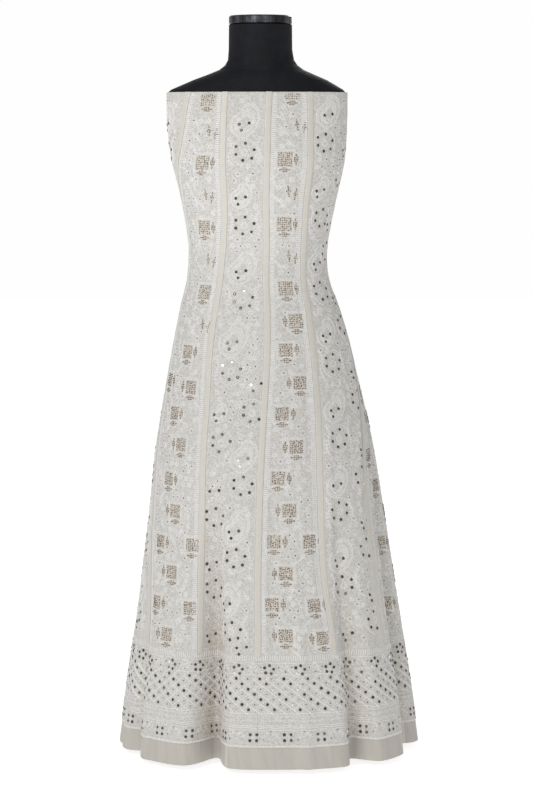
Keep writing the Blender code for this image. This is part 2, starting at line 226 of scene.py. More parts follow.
# Square fields of seed beads on the kalis with an odd number. The beside leaf is on the right
# where it says 1, on the left where it says -1, and left out where it says 0.
SQUARES = (
    ("place", "height", "beside"),
    (1.60, 1.3276, 0), (1.65, 1.2011, 1), (1.67, 1.0704, 1), (1.76, 0.9405, 0), (1.62, 0.820, 1),
    (1.745, 0.751, -1), (1.47, 0.697, 1), (1.66, 0.637, -1), (1.455, 0.5675, 1),
    (1.59, 0.505, -1), (1.33, 0.4413, 1), (1.56, 0.385, -1), (1.305, 0.3222, 1),
    (1.52, 0.263, -1), (1.885, 0.4433, 0), (1.87, 0.320, 0), (1.20, 0.760, 1),
    (3.55, 1.3405, 0), (3.40, 1.2078, 1), (3.45, 1.078, 1), (3.49, 0.9487, 1), (3.395, 0.8277, 1),
    (3.66, 0.884, -1),
    (3.67, 0.7628, -1), (3.33, 0.7031, 1), (3.59, 0.6386, -1), (3.29, 0.5781, 1),
    (3.48, 0.5156, -1), (3.24, 0.4551, 1), (3.42, 0.3937, -1), (3.20, 0.3331, 1),
    (3.37, 0.2729, -1), (3.80, 0.4544, 1), (3.80, 0.330, 1), (3.86, 0.266, -1),
    (5.12, 0.735, 1), (5.14, 0.6095, 1), (5.455, 0.544, -1), (5.47, 0.4268, 1), (5.475, 0.303, 1),
    (5.40, 1.270, 1), (5.42, 1.145, 1), (5.45, 1.020, 1), (5.42, 0.895, 1), (5.62, 0.680, -1),
    (5.70, 0.490, 1), (5.72, 0.365, 1),
)
HIDDEN_SQUARES = (
    ("share", "height", "beside"),
    (0.52, 1.3346, 0), (0.42, 1.2078, 1), (0.45, 1.078, 1), (0.49, 0.9487, 1), (0.395, 0.8277, 1),
    (0.67, 0.7628, -1), (0.33, 0.7031, 1), (0.60, 0.6386, -1), (0.29, 0.5781, 1),
    (0.52, 0.5156, -1), (0.26, 0.4551, 1), (0.48, 0.3937, -1), (0.24, 0.3331, 1),
    (0.44, 0.2729, -1), (0.80, 0.4544, 1), (0.80, 0.330, 1), (0.84, 0.266, -1),
)
SQUARE_WIDE = 0.0300
SQUARE_HIGH = 0.0280
SKIRT_SHARE = 0.90
SKIRT_TOP = 0.85
LEAF_LONG = 0.026
LEAF_WIDE = 0.010
LEAF_AWAY = 0.0205
LEAF_PAIR_BELOW = 0.0665
PAIR_LOWEST = 0.93
# Satin leaves to the left of a pair of field leaves.
PAIR_SATIN = (
    ("across", "up", "degrees", "length", "width"),
    (-0.015, -0.010, -42, 0.034, 0.0105), (-0.017, 0.017, -65, 0.024, 0.0085),
)
# Seed beads of a square: their steps, how far they stray, and how many are missing.
SQUARE_STEP = (0.0042, 0.0040)
SQUARE_STRAY = (0.0021, 0.0019)
SQUARE_MISSING = 0.10
LEAF_STEP = 0.0034
LEAF_STRAY = 0.0012
FRAME_AWAY = 0.0026
FRAME_WIDE = 0.0052
FIELD_STRIPS = 5
FIELD_LIFT = 0.00030

# Leaves of a vine and of a spray, in metres and radians, and the stitches of a satin leaf.
VINE_LEAF = (0.0066, 0.0027)
VINE_LEAF_AWAY = 0.0034
VINE_LEAF_TILT = 0.8
SPRAY_LEAF = 0.0062
SPRAY_LEAF_WIDE = 0.0026
SPRAY_LEAF_TILT = 0.95
SPRAY_LEAF_AWAY = 0.55
SPRAY_TAPER = 0.35
SPRAY_TIP = 0.006
SATIN_STEP = 0.0029
SATIN_WIDE = 0.0028
SATIN_SHORTEST = 0.002
SATIN_SLANT = 1.15
LEAF_FULLNESS = 0.7
# Short stitches between two lines: their pitch and their width.
PAISLEY_STITCH = (0.0039, 0.0029)
FRAME_STITCH = (0.0040, 0.0026)

# Widths of the lines of thread.
LEAF_THREAD = 0.0013
FINE_THREAD = 0.0014
THREAD = 0.0017
ROUND_THREAD = 0.0019
PAISLEY_THREAD = 0.0020
LATTICE_THREAD = 0.0021

# The border's rows, by height.
LADDER_ROW = 0.2290
FLOWER_ROW = 0.2070
LATTICE_TOP = 0.1945
LATTICE_FOOT = 0.1245
ZIGZAG_ROWS = (0.1165, 0.1080)
GROUP_ROW = 0.0750
LATTICE_ROWS = 7
BORDER_MIDDLE = 0.16
LATTICE_CELL = 0.0245
FLOWER_PITCH = 0.0653
FLOWER_SHIFT = 0.28
GROUP_PITCH = 0.0616
GROUP_SHIFT = 0.04
FLOWER_RADIUS = 0.0094
GROUP_HALF = (0.0066, 0.0057)
LADDER_PITCH = 0.0050
ZIGZAG_PITCH = 0.0085
HEM_PITCH = 0.0036
ROUND_LINES = (0.2205, LATTICE_TOP + 0.0035, LATTICE_FOOT - 0.0025, 0.0985, 0.0945, 0.0900)
# Seed beads between two flowers: how far on, in shares of the pitch, and how far up.
FLOWER_SEEDS = ((0.30, 0.004), (0.50, -0.004), (0.70, 0.005))
GROUP_SEEDS = ((0.020, -0.004), (0.034, 0.012))

# Flowers and sprigs of the filling: a flower has a bead up to the first share.
FILLING_PITCH = 0.0150
FILLING_ROW_SHARE = 0.88
FILLING_STRAY = 0.004
SQUARE_MARGIN = 0.0235
RING_MARGIN = 0.0150
BEADED_SHARE = 0.28
FLOWER_SHARE = 0.60
FILLING_SPRAY = (0.010, 2, 0.8)
# Petals round a middle: their number, length, distance from the middle and width.
BEADED_FLOWER = (6, 0.0048, 0.0018, 0.0030)
FILLING_FLOWER = (6, 0.0066, 0.0004, 0.0036)
FLOWER_MIDDLE = (5, 0.0036, 0.0010, 0.0024)
GROUP_MIDDLE = (4, 0.0040, 0.0008, 0.0024)
# Upright stitches: their length and width.
LADDER_BAR = (0.0105, 0.0017)
HEM_BAR = (0.0040, 0.0026)

# How far the sewn pieces stand off the cloth or sink in, so that nothing floats.
PETAL_LIFT = -0.0001
BAR_LIFT = 0.0001
SEQUIN_LIFT = 0.0003
SEED_LIFT = 0.0002
CORD_LIFT = -0.00015

# A band over its width: shares of its half width, and how far it stands up there.
BAND_PROFILE = (
    ("share", "rise"),
    (-1.0, 0.0), (-0.90, 0.00025), (-0.6, 0.0004), (-0.2, 0.0004), (0.2, 0.0004), (0.6, 0.0004),
    (0.86, 0.00035), (0.93, 0.0), (1.0, 0.0),
)
LINING_GORES = (
    ("first", "last"),
    (2.5, 5.5), (5.5, 7.5), (7.5, 10.5), (10.5, 12.5),
)

CAMERA_PLACE = (0.011, -5.0, 1.25)
CAMERA_TILT = 6.1308
CAMERA_FOCAL_PIXELS = 2439.0
PHOTO_HEIGHT = 800
SENSOR_HEIGHT = 24.0
LIGHTS = (
    ("name", "power", "size", "place"),
    ("key", 58.0, 1.5, (-1.50, -2.88, 2.7)),
    ("fill", 4.5, 1.6, (2.4, -2.4, 1.3)),
    ("back", 44.0, 2.0, (0.5, 3.6, 2.6)),
)
LIGHT_AIM = (0.0, 0.0, 1.05)
WORLD_LIGHT = 0.34
WORLD_SEEN = 0.99
FLOOR_HALF = 14.0


def linear(text):
    """An sRGB hex colour as scene-linear red, green and blue."""
    values = []
    for start in (0, 2, 4):
        value = int(text[start:start + 2], 16) / 255.0
        values.append(value / 12.92 if value <= 0.04045 else ((value + 0.055) / 1.055) ** 2.4)
    return tuple(values)


def length_property(name, description, default):
    return FloatProperty(
        name=name, description=description, default=default, min=0.0, unit="LENGTH", precision=5
    )


def colour_property(name, description, text):
    return FloatVectorProperty(
        name=name, description=description, default=linear(text), size=3, min=0.0, max=1.0,
        subtype="COLOR",
    )


class GownSizes(bpy.types.PropertyGroup):
    """Sizes that a maker would change."""

    cloth_wall: length_property("Cloth", "Thickness of the embroidered cloth", 0.0012)
    lining_wall: length_property("Lining", "Thickness of the underskirt's cloth", 0.0010)
    band_wall: length_property("Band", "Thickness of the seam bands", 0.0010)
    thread_height: length_property("Thread", "How far the whitework stands up", 0.0006)
    sequin_width: length_property("Sequin", "Diameter of the large sequins", 0.0062)
    seed_width: length_property("Seed bead", "Diameter of the small beads", 0.0026)
    ring_radius: length_property("Ring", "Radius of a rosette's ring of sequins", 0.0172)
    rung_length: length_property("Rung", "Length of the ladder stitches beside a band", 0.0076)
    rung_pitch: length_property("Rung pitch", "Height from one ladder stitch to the next", 0.0040)
    kali_columns: IntProperty(name="Columns", description="Strips across a kali", default=40, min=8)
    kali_rows: IntProperty(name="Rows", description="Strips down a kali", default=150, min=20)


class GownColours(bpy.types.PropertyGroup):
    """Colours of the cloths and trims."""

    georgette: colour_property("Georgette", "Ground cloth of the panels", "C1BEB8")
    # Painted shade: the cloths are mixed towards this colour down in the flutes, where shadow falls.
    trough: colour_property("Trough", "Ground cloth where it turns away in a flute", "B3A898")
    thread: colour_property("Thread", "White cotton of the whitework", "E5E4E2")
    band: colour_property("Band", "Cream satin of the seam bands", "D0CBC1")
    lining: colour_property("Lining", "Sheer underskirt", "BEB9B1")
    field: colour_property("Field", "Net under the fields of seed beads", "C8C0B5")
    # Painted reflection: this dark gilt stands in for a dark room mirrored in the sequins.
    sequin: colour_property("Sequin", "Antique gilt of the sequins", "57524A")
    seed: colour_property("Seed bead", "Dark seed beads", "2E2825")
    jersey: colour_property("Jersey", "Cover of the form", "0E0F14")
    chrome: colour_property("Chrome", "Neck cap", "7C7D84")


def table_curve(table, column, heights):
    """Values of a named column at some heights, on a smooth curve through the table's rows."""
    rows = np.array(table[1:])
    at = rows[:, 0]
    values = rows[:, table[0].index(column)]
    last = len(at) - 1
    number = np.arange(last + 1)
    before = np.maximum(number - 1, 0)
    after = np.minimum(number + 1, last)
    slopes = (values[after] - values[before]) / (at[after] - at[before])
    heights = np.clip(heights, at[-1], at[0])
    upper = np.clip(np.searchsorted(-at, -heights, side="right") - 1, 0, last - 1)
    span = at[upper + 1] - at[upper]
    s = (heights - at[upper]) / span
    return (
        ((2.0 * s - 3.0) * s * s + 1.0) * values[upper]
        + (3.0 - 2.0 * s) * s * s * values[upper + 1]
        + ((s - 2.0) * s + 1.0) * s * span * slopes[upper]
        + (s - 1.0) * s * s * span * slopes[upper + 1]
    )


def outline(angles, heights):
    """Points of the gown's outline over its crests."""
    across = np.sin(angles)
    ahead = np.cos(angles)
    square = table_curve(SECTIONS, "squareness", heights)
    swell = (abs(across) ** square + abs(ahead) ** square) ** (-1.0 / square)
    share = (1.0 + ahead) / 2.0
    share = share * share * (3.0 - 2.0 * share)
    front = table_curve(SECTIONS, "front_depth", heights)
    back = table_curve(SECTIONS, "back_depth", heights)
    depth = back + (front - back) * share
    x = table_curve(SECTIONS, "centre_x", heights)
    x = x + table_curve(SECTIONS, "half_width", heights) * across * swell
    return np.stack((x, -depth * ahead * swell, heights + 0.0 * x), axis=-1)


def seam_angles(seams, heights):
    turns, number = np.divmod(seams - 1, KALIS)
    number = number + 1
    last_front = table_curve(SEAMS, "seam_5", heights)
    behind = table_curve(SEAMS, "seam_10", heights) + 360.0
    angles = last_front + (behind - last_front) * (number - 5) / (KALIS - 5)
    for front in range(1, 6):
        angles = np.where(number == front, table_curve(SEAMS, f"seam_{front}", heights), angles)
    return angles + 360.0 * turns


def place_angles(places, heights):
    seams = np.floor(places).astype(int)
    start = seam_angles(seams, heights)
    return start + (seam_angles(seams + 1, heights) - start) * (places - seams)


def fold_depths(places, heights):
    """How far the flutes sink in from the outline."""
    hem_angles = place_angles(places, np.full_like(places, LINING_HEM))
    total = np.zeros_like(places)
    for trough_angle, half_angle, depth, start_height in FOLDS[1:]:
        away = (hem_angles - trough_angle + 180.0) % 360.0 - 180.0
        growth = np.maximum((start_height - heights) / start_height, 0.0) ** FOLD_GROWTH
        total += depth * growth * np.exp(-((away / half_angle) ** 2))
    return total


def crease_rises(places, heights, metres_a_place):
    """How far the soft creases and the pull of the seams stand out."""
    total = np.zeros_like(places)
    for place, drift, top, foot, half_width, rise in CREASES[1:]:
        down = np.clip((top - heights) / (top - foot), 0.0, 1.0)
        away = (places - place - drift * down + KALIS / 2.0) % KALIS - KALIS / 2.0
        fade = np.sin(np.pi * np.clip(down, 0.0, 1.0) ** CREASE_FADE) ** CREASE_FADE
        if foot < OUTER_HEM + TO_HEM_MARGIN:
            fade = np.clip(down * 1.6, 0.0, 1.0) ** 1.4
        total += rise * fade * np.exp(-((away * metres_a_place / half_width) ** 2))
    from_seam = abs(places - np.round(places)) * metres_a_place
    seam = np.round(places)
    wave = np.sin(2.0 * np.pi * heights / PUCKER_WAVE + 2.4 * seam + 1.3 * np.sin(heights * 21.0))
    return total + PUCKER_RISE * (0.5 + 0.5 * wave) * np.exp(-((from_seam / PUCKER_REACH) ** 2))


class Cloth:
    """The one surface that all cloth lies on, in tables of points, ways out and ways across."""

    ROWS = 334
    FINE = 96
    COLUMNS = 1100

    def __init__(self):
        self.heights = np.linspace(LINING_HEM, TOP_EDGE, self.ROWS)
        fine = np.linspace(1.0, 1.0 + KALIS, KALIS * self.FINE + 1)
        places, heights = np.meshgrid(fine, self.heights)
        smooth = outline(np.radians(place_angles(places, heights)), heights)
        around = np.linalg.norm(np.diff(smooth, axis=1), axis=2).sum(axis=1)
        self.metres_a_place = around / KALIS
        points = self.points(places, heights)
        steps = np.linalg.norm(np.diff(points, axis=1), axis=2)
        self.arcs = np.concatenate((np.zeros((self.ROWS, 1)), np.cumsum(steps, axis=1)), axis=1)
        self.girth = self.arcs[:, -1]
        shares = np.linspace(0.0, 1.0, self.COLUMNS + 1)
        places = np.array(
            [np.interp(shares * row[-1], row, fine) for row in self.arcs]
        )
        heights = np.repeat(self.heights[:, None], self.COLUMNS + 1, axis=1)
        self.table = self.points(places, heights)
        small = 0.0006
        across = self.points(places + small * 8.0, heights) - self.points(places - small * 8.0, heights)
        low = np.maximum(heights - small, LINING_HEM)
        high = np.minimum(heights + small, TOP_EDGE)
        upward = self.points(places, high) - self.points(places, low)
        self.across = across / np.linalg.norm(across, axis=2, keepdims=True)
        out = np.cross(across, upward)
        self.out = out / np.linalg.norm(out, axis=2, keepdims=True)
        self.sunk = fold_depths(places, heights)

    def points(self, places, heights):
        angles = np.radians(place_angles(places, heights))
        step = 0.01
        along = outline(angles + step, heights) - outline(angles - step, heights)
        along = along / np.linalg.norm(along, axis=-1, keepdims=True)
        outward = np.stack((along[..., 1], -along[..., 0], 0.0 * along[..., 0]), axis=-1)
        metres = np.interp(heights, self.heights, self.metres_a_place)
        rise = crease_rises(places, heights, metres) - fold_depths(places, heights)
        return outline(angles, heights) + outward * rise[..., None]

    def row(self, heights):
        return (np.clip(heights, LINING_HEM, TOP_EDGE) - LINING_HEM) / (
            TOP_EDGE - LINING_HEM
        ) * (self.ROWS - 1)

    def mixed(self, table, rows, columns):
        """A table read between its rows and columns."""
        r = np.minimum(rows.astype(int), table.shape[0] - 2)
        c = np.minimum(columns.astype(int), table.shape[1] - 2)
        u = rows - r
        v = columns - c
        if table.ndim == 3:
            u = u[..., None]
            v = v[..., None]
        low = table[r, c] * (1.0 - v) + table[r, c + 1] * v
        high = table[r + 1, c] * (1.0 - v) + table[r + 1, c + 1] * v
        return low * (1.0 - u) + high * u

    def arc(self, places, heights):
        """Metres round the cloth from seam 1 to a place."""
        columns = (places - 1.0) * self.FINE
        return self.mixed(self.arcs, self.row(heights), columns)

    def girths(self, heights):
        return np.interp(heights, self.heights, self.girth)

    def read(self, arcs, heights):
        """Points, ways out, ways across and flute depths at distances round the cloth."""
        rows = self.row(heights)
        columns = (arcs / self.girths(heights)) % 1.0 * self.COLUMNS
        found = [self.mixed(t, rows, columns) for t in (self.table, self.out, self.across)]
        out = found[1] / np.linalg.norm(found[1], axis=-1, keepdims=True)
        across = found[2] / np.linalg.norm(found[2], axis=-1, keepdims=True)
        return found[0], out, across, self.mixed(self.sunk, rows, columns)


CLOTH = Cloth()


def kali_name(kali, kind):
    return f"kali_{kali:02d}_{kind}"


def finish_piece(name, mesh, material, replaced=()):
    """A finished piece from a mesh that is in place: it rides on the gown's one body."""
    mesh.materials.clear()
    mesh.materials.append(material)
    obj = bpy.data.objects.new(name, mesh)
    bpy.context.scene.collection.objects.link(obj)
    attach(obj, "root")
    if replaced:
        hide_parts(*replaced)
    return obj


def wall_faces(rows, columns, start=0):
    """Faces of a closed wall between a grid of points and the one behind it, which follows it."""
    face = start + np.arange(rows * columns).reshape(rows, columns)
    back = face + rows * columns
    quads = (
        (face[:-1, :-1], face[:-1, 1:], face[1:, 1:], face[1:, :-1]),
        (back[:-1, 1:], back[:-1, :-1], back[1:, :-1], back[1:, 1:]),
        (back[0, :-1], back[0, 1:], face[0, 1:], face[0, :-1]),
        (face[-1, :-1], face[-1, 1:], back[-1, 1:], back[-1, :-1]),
        (back[:-1, 0], face[:-1, 0], face[1:, 0], back[1:, 0]),
        (face[:-1, -1], back[:-1, -1], back[1:, -1], face[1:, -1]),
    )
    return np.concatenate([np.stack(quad, axis=-1).reshape(-1, 4) for quad in quads]).tolist()


def shell_mesh(name, outer, inner, chart, trough, side):
    """A closed wall between two grids of points, with its flat layout as UV in metres."""
    points = np.concatenate((outer.reshape(-1, 3), inner.reshape(-1, 3)))
    mesh = bpy.data.meshes.new(name)
    mesh.from_pydata(points.tolist(), [], wall_faces(*outer.shape[:2]))
    layout = np.tile(chart.reshape(-1, 2), (2, 1))
    corners = np.zeros(len(mesh.loops), dtype=np.int32)
    mesh.loops.foreach_get("vertex_index", corners)
    uv = mesh.uv_layers.new(name="flat")
    uv.data.foreach_set("uv", layout[corners].astype(np.float32).ravel())
    # Besides the UV, the points carry the mask of painted trough shade and the distance from the side.
    for label, values in (("trough", trough), ("side", side)):
        attribute = mesh.attributes.new(label, "FLOAT", "POINT")
        attribute.data.foreach_set("value", np.tile(values.ravel(), 2).astype(np.float32))
    mesh.shade_smooth()
    mesh.set_sharp_from_angle(angle=math.radians(60.0))
    return mesh


def cloth_shell(node, arcs, heights, lift, thickness, material):
    """A thin shell on the cloth's surface in a node's place, with the size it was cut to."""
    name = f"{node}_cloth"
    grid = np.repeat(heights[:, None], arcs.shape[1], axis=1)
    points, out, _, sunk = CLOTH.read(arcs, grid)
    outer = points + out * (lift[..., None] if np.ndim(lift) else lift)
    inner = points + out * (np.min(lift) - thickness)
    middle = arcs.shape[1] // 2
    chart = np.stack((arcs - arcs[:, middle:middle + 1], grid), axis=-1)
    side = np.minimum(arcs - arcs[:, :1], arcs[:, -1:] - arcs)
    # The flute depth, as a share of DEEP_TROUGH, is stored as the mask of painted trough shade.
    mesh = shell_mesh(name, outer, inner, chart, np.clip(sunk / DEEP_TROUGH, 0.0, 1.0), side)
    obj = finish_piece(name, mesh, material, (node,))
    widths = np.linalg.norm(np.diff(points, axis=1), axis=2).sum(axis=1)
    steps = np.linalg.norm(np.diff(points[:, middle], axis=0), axis=1)
    area = float(((widths[:-1] + widths[1:]) / 2.0 * steps).sum())
    return obj, float(widths.max()), float(steps.sum()), area


def set_inputs(node, inputs):
    """Sets or links a node's inputs: by name, or in order where they are given as a row."""
    usable = [socket for socket in node.inputs if socket.enabled]
    if isinstance(inputs, dict):
        names = [socket.name for socket in usable]
        pairs = [(usable[names.index(name)], value) for name, value in inputs.items()]
    else:
        pairs = zip(usable, inputs)
    for socket, value in pairs:
        if isinstance(value, bpy.types.Node):
            value = next(output for output in value.outputs if output.enabled)
        if isinstance(value, bpy.types.NodeSocket):
            node.id_data.links.new(value, socket)
        else:
            socket.default_value = value


def add_node(tree, kind, settings=None, inputs=()):
    """A node with its settings and its inputs."""
    node = tree.nodes.new(kind)
    for key, value in (settings or {}).items():
        setattr(node, key, value)
    set_inputs(node, inputs)
    return node


def new_material(name, values):
    """A material, its shader with the values that are constant, and what adds a node to it."""
    material = bpy.data.materials.new(name)
    material.use_nodes = True
    shader = material.node_tree.nodes["Principled BSDF"]
    set_inputs(shader, values)
    return material, shader, partial(add_node, material.node_tree)


def rgba(colour, factor=1.0):
    """A colour as a socket takes it, made darker or lighter by a factor."""
    return (*(min(factor * value, 1.0) for value in colour), 1.0)


# Kinds of node and settings that recur. In order, a noise takes its vector, one over the size of
# its lumps in metres, its detail and its roughness; a range its value, the span it comes from and
# the span it goes to; a mix of colours its factor and the two colours.
ATTRIBUTE = "ShaderNodeAttribute"
BUMP = "ShaderNodeBump"
CELLS = "ShaderNodeTexVoronoi"
COORDINATES = "ShaderNodeTexCoord"
MAPPING = "ShaderNodeMapping"
MATH = "ShaderNodeMath"
MIX = "ShaderNodeMix"
NOISE = "ShaderNodeTexNoise"
RANGE = "ShaderNodeMapRange"
UV_MAP = "ShaderNodeUVMap"
ADD = {"operation": "ADD"}
COLOURS = {"data_type": "RGBA"}
EDGES = {"feature": "DISTANCE_TO_EDGE"}
FLAT = {"uv_map": "flat"}
MULTIPLY = {"operation": "MULTIPLY"}
SIDE = {"attribute_name": "side"}
SMOOTH = {"interpolation_type": "SMOOTHSTEP"}
TONE = {"attribute_name": "tone"}
# The mask of painted trough shade, which the cloth materials read.
TROUGH_SHADE = {"attribute_name": "trough"}
WHITE = (1.0, 1.0, 1.0, 1.0)


def embroidered_georgette(colours):
    """Silk georgette, crepe-woven and filled all over with white thread: matte, faintly mottled."""
    material, shader, node = new_material(
        "embroidered_georgette", {"Roughness": 0.86, "Sheen Weight": 0.18, "Sheen Roughness": 0.5}
    )
    flat = node(UV_MAP, FLAT)
    swirl = node(NOISE, None, (flat, 1.0 / 0.012)).outputs["Color"]
    warped = node("ShaderNodeMixRGB", {"blend_type": "LINEAR_LIGHT"}, (0.0035, flat, swirl))
    # Filling stitches in cells 8 mm across, bent into scrolls, with knots 4.3 mm apart.
    scroll = node(CELLS, EDGES, (warped, 1.0 / 0.0080)).outputs["Distance"]
    knots = node(CELLS, {"feature": "F1"}, (warped, 1.0 / 0.0043)).outputs["Distance"]
    lines = node(MATH, MULTIPLY, (node(RANGE, SMOOTH, (scroll, 0.06, 0.20, 1.0, 0.0)), 0.28))
    dots = node(MATH, MULTIPLY, (node(RANGE, SMOOTH, (knots, 0.22, 0.50, 1.0, 0.0)), 0.38))
    thread = node(MATH, ADD, (lines, dots))
    # Crepe grain is under half a millimetre: drawn at 1.6 mm so that it shows.
    crepe = node(NOISE, None, (flat, 1.0 / 0.0016, 3.0, 0.6))
    cloud = node(NOISE, None, (flat, 1.0 / 0.060, 3.0))
    mottled = node(RANGE, SMOOTH, (cloud, 0.3, 0.7, 0.97, 1.02))
    # Painted shade: the ground darkens towards the trough shade colour where the flutes sink in.
    sunk = node(MATH, MULTIPLY, (node(ATTRIBUTE, TROUGH_SHADE).outputs["Fac"], 0.75))
    ground = node(MIX, COLOURS, (sunk, rgba(colours.georgette), rgba(colours.trough)))
    shaded = node(MIX, COLOURS, (thread, ground, rgba(colours.thread)))
    bright = node("ShaderNodeVectorMath", {"operation": "SCALE"}, (shaded, mottled))
    relief = node(MATH, ADD, (thread, node(MATH, MULTIPLY, (crepe, 0.35))))
    bump = node(BUMP, None, {"Height": relief, "Distance": 0.0008, "Strength": 1.0})
    set_inputs(shader, {"Base Color": bright, "Normal": bump})
    return material


def white_thread(colours):
    """Six-strand white cotton in satin stitch: bright, soft lustre, fine rows across the stitch."""
    material, shader, node = new_material(
        "white_thread", {"Roughness": 0.62, "Sheen Weight": 0.25, "Sheen Roughness": 0.4}
    )
    place = node(COORDINATES).outputs["Object"]
    tone = node(RANGE, SMOOTH, (node(NOISE, None, (place, 1.0 / 0.004)), 0.3, 0.7))
    shaded = node(MIX, COLOURS, (tone, rgba(colours.thread, 0.90), rgba(colours.thread)))
    rows = node(NOISE, None, (place, 1.0 / 0.0009))
    bump = node(BUMP, None, {"Height": rows, "Distance": 0.0003, "Strength": 0.7})
    set_inputs(shader, {"Base Color": shaded, "Normal": bump})
    return material


def satin_band(colours):
    """Cream silk satin cut on the straight: smoother than the panels, a crease line near its edge."""
    material, shader, node = new_material(
        "satin_band", {"Roughness": 0.48, "Sheen Weight": 0.15, "Sheen Roughness": 0.4}
    )
    flat = node(UV_MAP, FLAT)
    side = node(ATTRIBUTE, SIDE).outputs["Fac"]
    edge = node(MATH, MULTIPLY, (node(RANGE, SMOOTH, (side, 0.0016, 0.0034, 1.0, 0.0)), 0.85))
    slub = node(RANGE, SMOOTH, (node(NOISE, None, (flat, 1.0 / 0.010, 3.0)), 0.3, 0.7, 0.0, 0.35))
    # Painted shade: the band is mixed towards the trough shade colour down in the flutes.
    sunk = node(MATH, MULTIPLY, (node(ATTRIBUTE, TROUGH_SHADE).outputs["Fac"], 0.6))
    shaded = node(MIX, COLOURS, (edge, rgba(colours.band), rgba(linear("CFCDC8"))))
    shaded = node(MIX, COLOURS, (slub, shaded, rgba(colours.band, 0.90)))
    shaded = node(MIX, COLOURS, (sunk, shaded, rgba(colours.trough)))
    ribs = node(
        "ShaderNodeTexWave", {"wave_type": "BANDS", "bands_direction": "Y"},
        {"Vector": flat, "Scale": 1.0 / (2.0 * math.pi * 0.0022), "Distortion": 1.5},
    )
    bump = node(BUMP, None, {"Height": ribs.outputs[1], "Distance": 0.0002, "Strength": 0.6})
    set_inputs(shader, {"Base Color": shaded, "Normal": bump})
    return material


def sheer_lining(colours):
    """Plain sheer georgette, unembroidered: greyer, with a faint vertical crinkle."""
    material, shader, node = new_material(
        "sheer_lining", {"Roughness": 0.70, "Sheen Weight": 0.2, "Sheen Roughness": 0.4}
    )
    flat = node(UV_MAP, FLAT)
    side = node(ATTRIBUTE, SIDE).outputs["Fac"]
    stretched = node(MAPPING, None, {"Vector": flat, "Scale": (1.0, 0.12, 1.0)})
    crinkle = node(NOISE, None, (stretched, 1.0 / 0.012, 3.0))
    tone = node(RANGE, SMOOTH, (crinkle, 0.3, 0.7, 0.0, 0.6))
    turning = node(RANGE, SMOOTH, (side, 0.0045, 0.0055, 0.8, 0.0))
    # Painted shade: the lining darkens a little down in the flutes.
    sunk = node(MATH, MULTIPLY, (node(ATTRIBUTE, TROUGH_SHADE).outputs["Fac"], 0.12))
    shaded = node(MIX, COLOURS, (tone, rgba(colours.lining), rgba(colours.lining, 0.86)))
    shaded = node(MIX, COLOURS, (turning, shaded, rgba(colours.lining, 1.25)))
    shaded = node(MIX, COLOURS, (sunk, shaded, rgba(colours.lining, 0.62)))
    fine = node(MATH, MULTIPLY, (node(NOISE, None, (flat, 1.0 / 0.0014)), 0.2))
    grain = node(MATH, ADD, (crinkle, fine))
    bump = node(BUMP, None, {"Height": grain, "Distance": 0.0010, "Strength": 0.8})
    set_inputs(shader, {"Base Color": shaded, "Normal": bump})
    return material


def field_net(colours):
    """Tulle of a pinkish beige, set in under the seed beads: matte, with a small open mesh."""
    material, shader, node = new_material("field_net", {"Roughness": 0.8})
    place = node(COORDINATES).outputs["Object"]
    cells = node(CELLS, EDGES, (place, 1.0 / 0.0030)).outputs["Distance"]
    holes = node(RANGE, SMOOTH, (cells, 0.05, 0.35))
    shaded = node(MIX, COLOURS, (holes, rgba(colours.field, 1.12), rgba(colours.field, 0.72)))
    bump = node(BUMP, None, {"Height": holes, "Distance": 0.0004, "Strength": 0.8})
    set_inputs(shader, {"Base Color": shaded, "Normal": bump})
    return material


def gilt_sequin(colours):
    """Cupped metallised sequins in dark gilt, the darkness a painted reflection of a dark room: a few
    have white faces as painted glints.
    """
    material, shader, node = new_material(
        "dark_reflection_gilt_sequin", {"Roughness": 0.28, "Metallic": 0.85}
    )
    tone = node(ATTRIBUTE, TONE).outputs["Fac"]
    place = node(COORDINATES).outputs["Object"]
    # Painted reflection: the dark gilt stands in for a dark room mirrored in the metal; some sequins
    # are paler at random.
    paler = node(RANGE, SMOOTH, (tone, 0.60, 0.98))
    # A few sequins get white faces, which are painted glints.
    bright = node(RANGE, SMOOTH, (tone, 0.93, 0.95))
    shaded = node(MIX, COLOURS, (paler, rgba(colours.sequin), rgba(linear("7F7567"))))
    shaded = node(MIX, COLOURS, (bright, shaded, rgba(linear("F4F2EE"))))
    rough = node(RANGE, SMOOTH, (node(NOISE, None, (place, 1.0 / 0.003)), 0.3, 0.7, 0.20, 0.42))
    set_inputs(shader, {"Base Color": shaded, "Roughness": rough})
    return material


def seed_bead(colours):
    """Cut glass seed beads, dark brown and glossy."""
    material, shader, node = new_material("cut_seed_bead", {"Roughness": 0.25})
    tone = node(ATTRIBUTE, TONE).outputs["Fac"]
    shaded = node(MIX, COLOURS, (tone, rgba(colours.seed), rgba(linear("4A4038"))))
    set_inputs(shader, {"Base Color": shaded})
    return material


def black_jersey(colours):
    """Black cotton jersey stretched over the form: matte, faint knit rows and lint."""
    material, shader, node = new_material(
        "black_jersey", {"Roughness": 0.70, "Sheen Weight": 0.02, "Specular IOR Level": 0.20}
    )
    place = node(COORDINATES).outputs["Object"]
    lint = node(RANGE, SMOOTH, (node(NOISE, None, (place, 1.0 / 0.018, 4.0)), 0.35, 0.75))
    shaded = node(MIX, COLOURS, (lint, rgba(colours.jersey), rgba(colours.jersey, 1.7)))
    # Knit wales are 0.7 mm apart: drawn at 2.4 mm so that they show.
    stretched = node(MAPPING, None, {"Vector": place, "Scale": (1.0, 1.0, 0.5)})
    knit = node(NOISE, None, (stretched, 1.0 / 0.0024))
    bump = node(BUMP, None, {"Height": knit, "Distance": 0.0005, "Strength": 0.6})
    set_inputs(shader, {"Base Color": shaded, "Normal": bump})
    return material


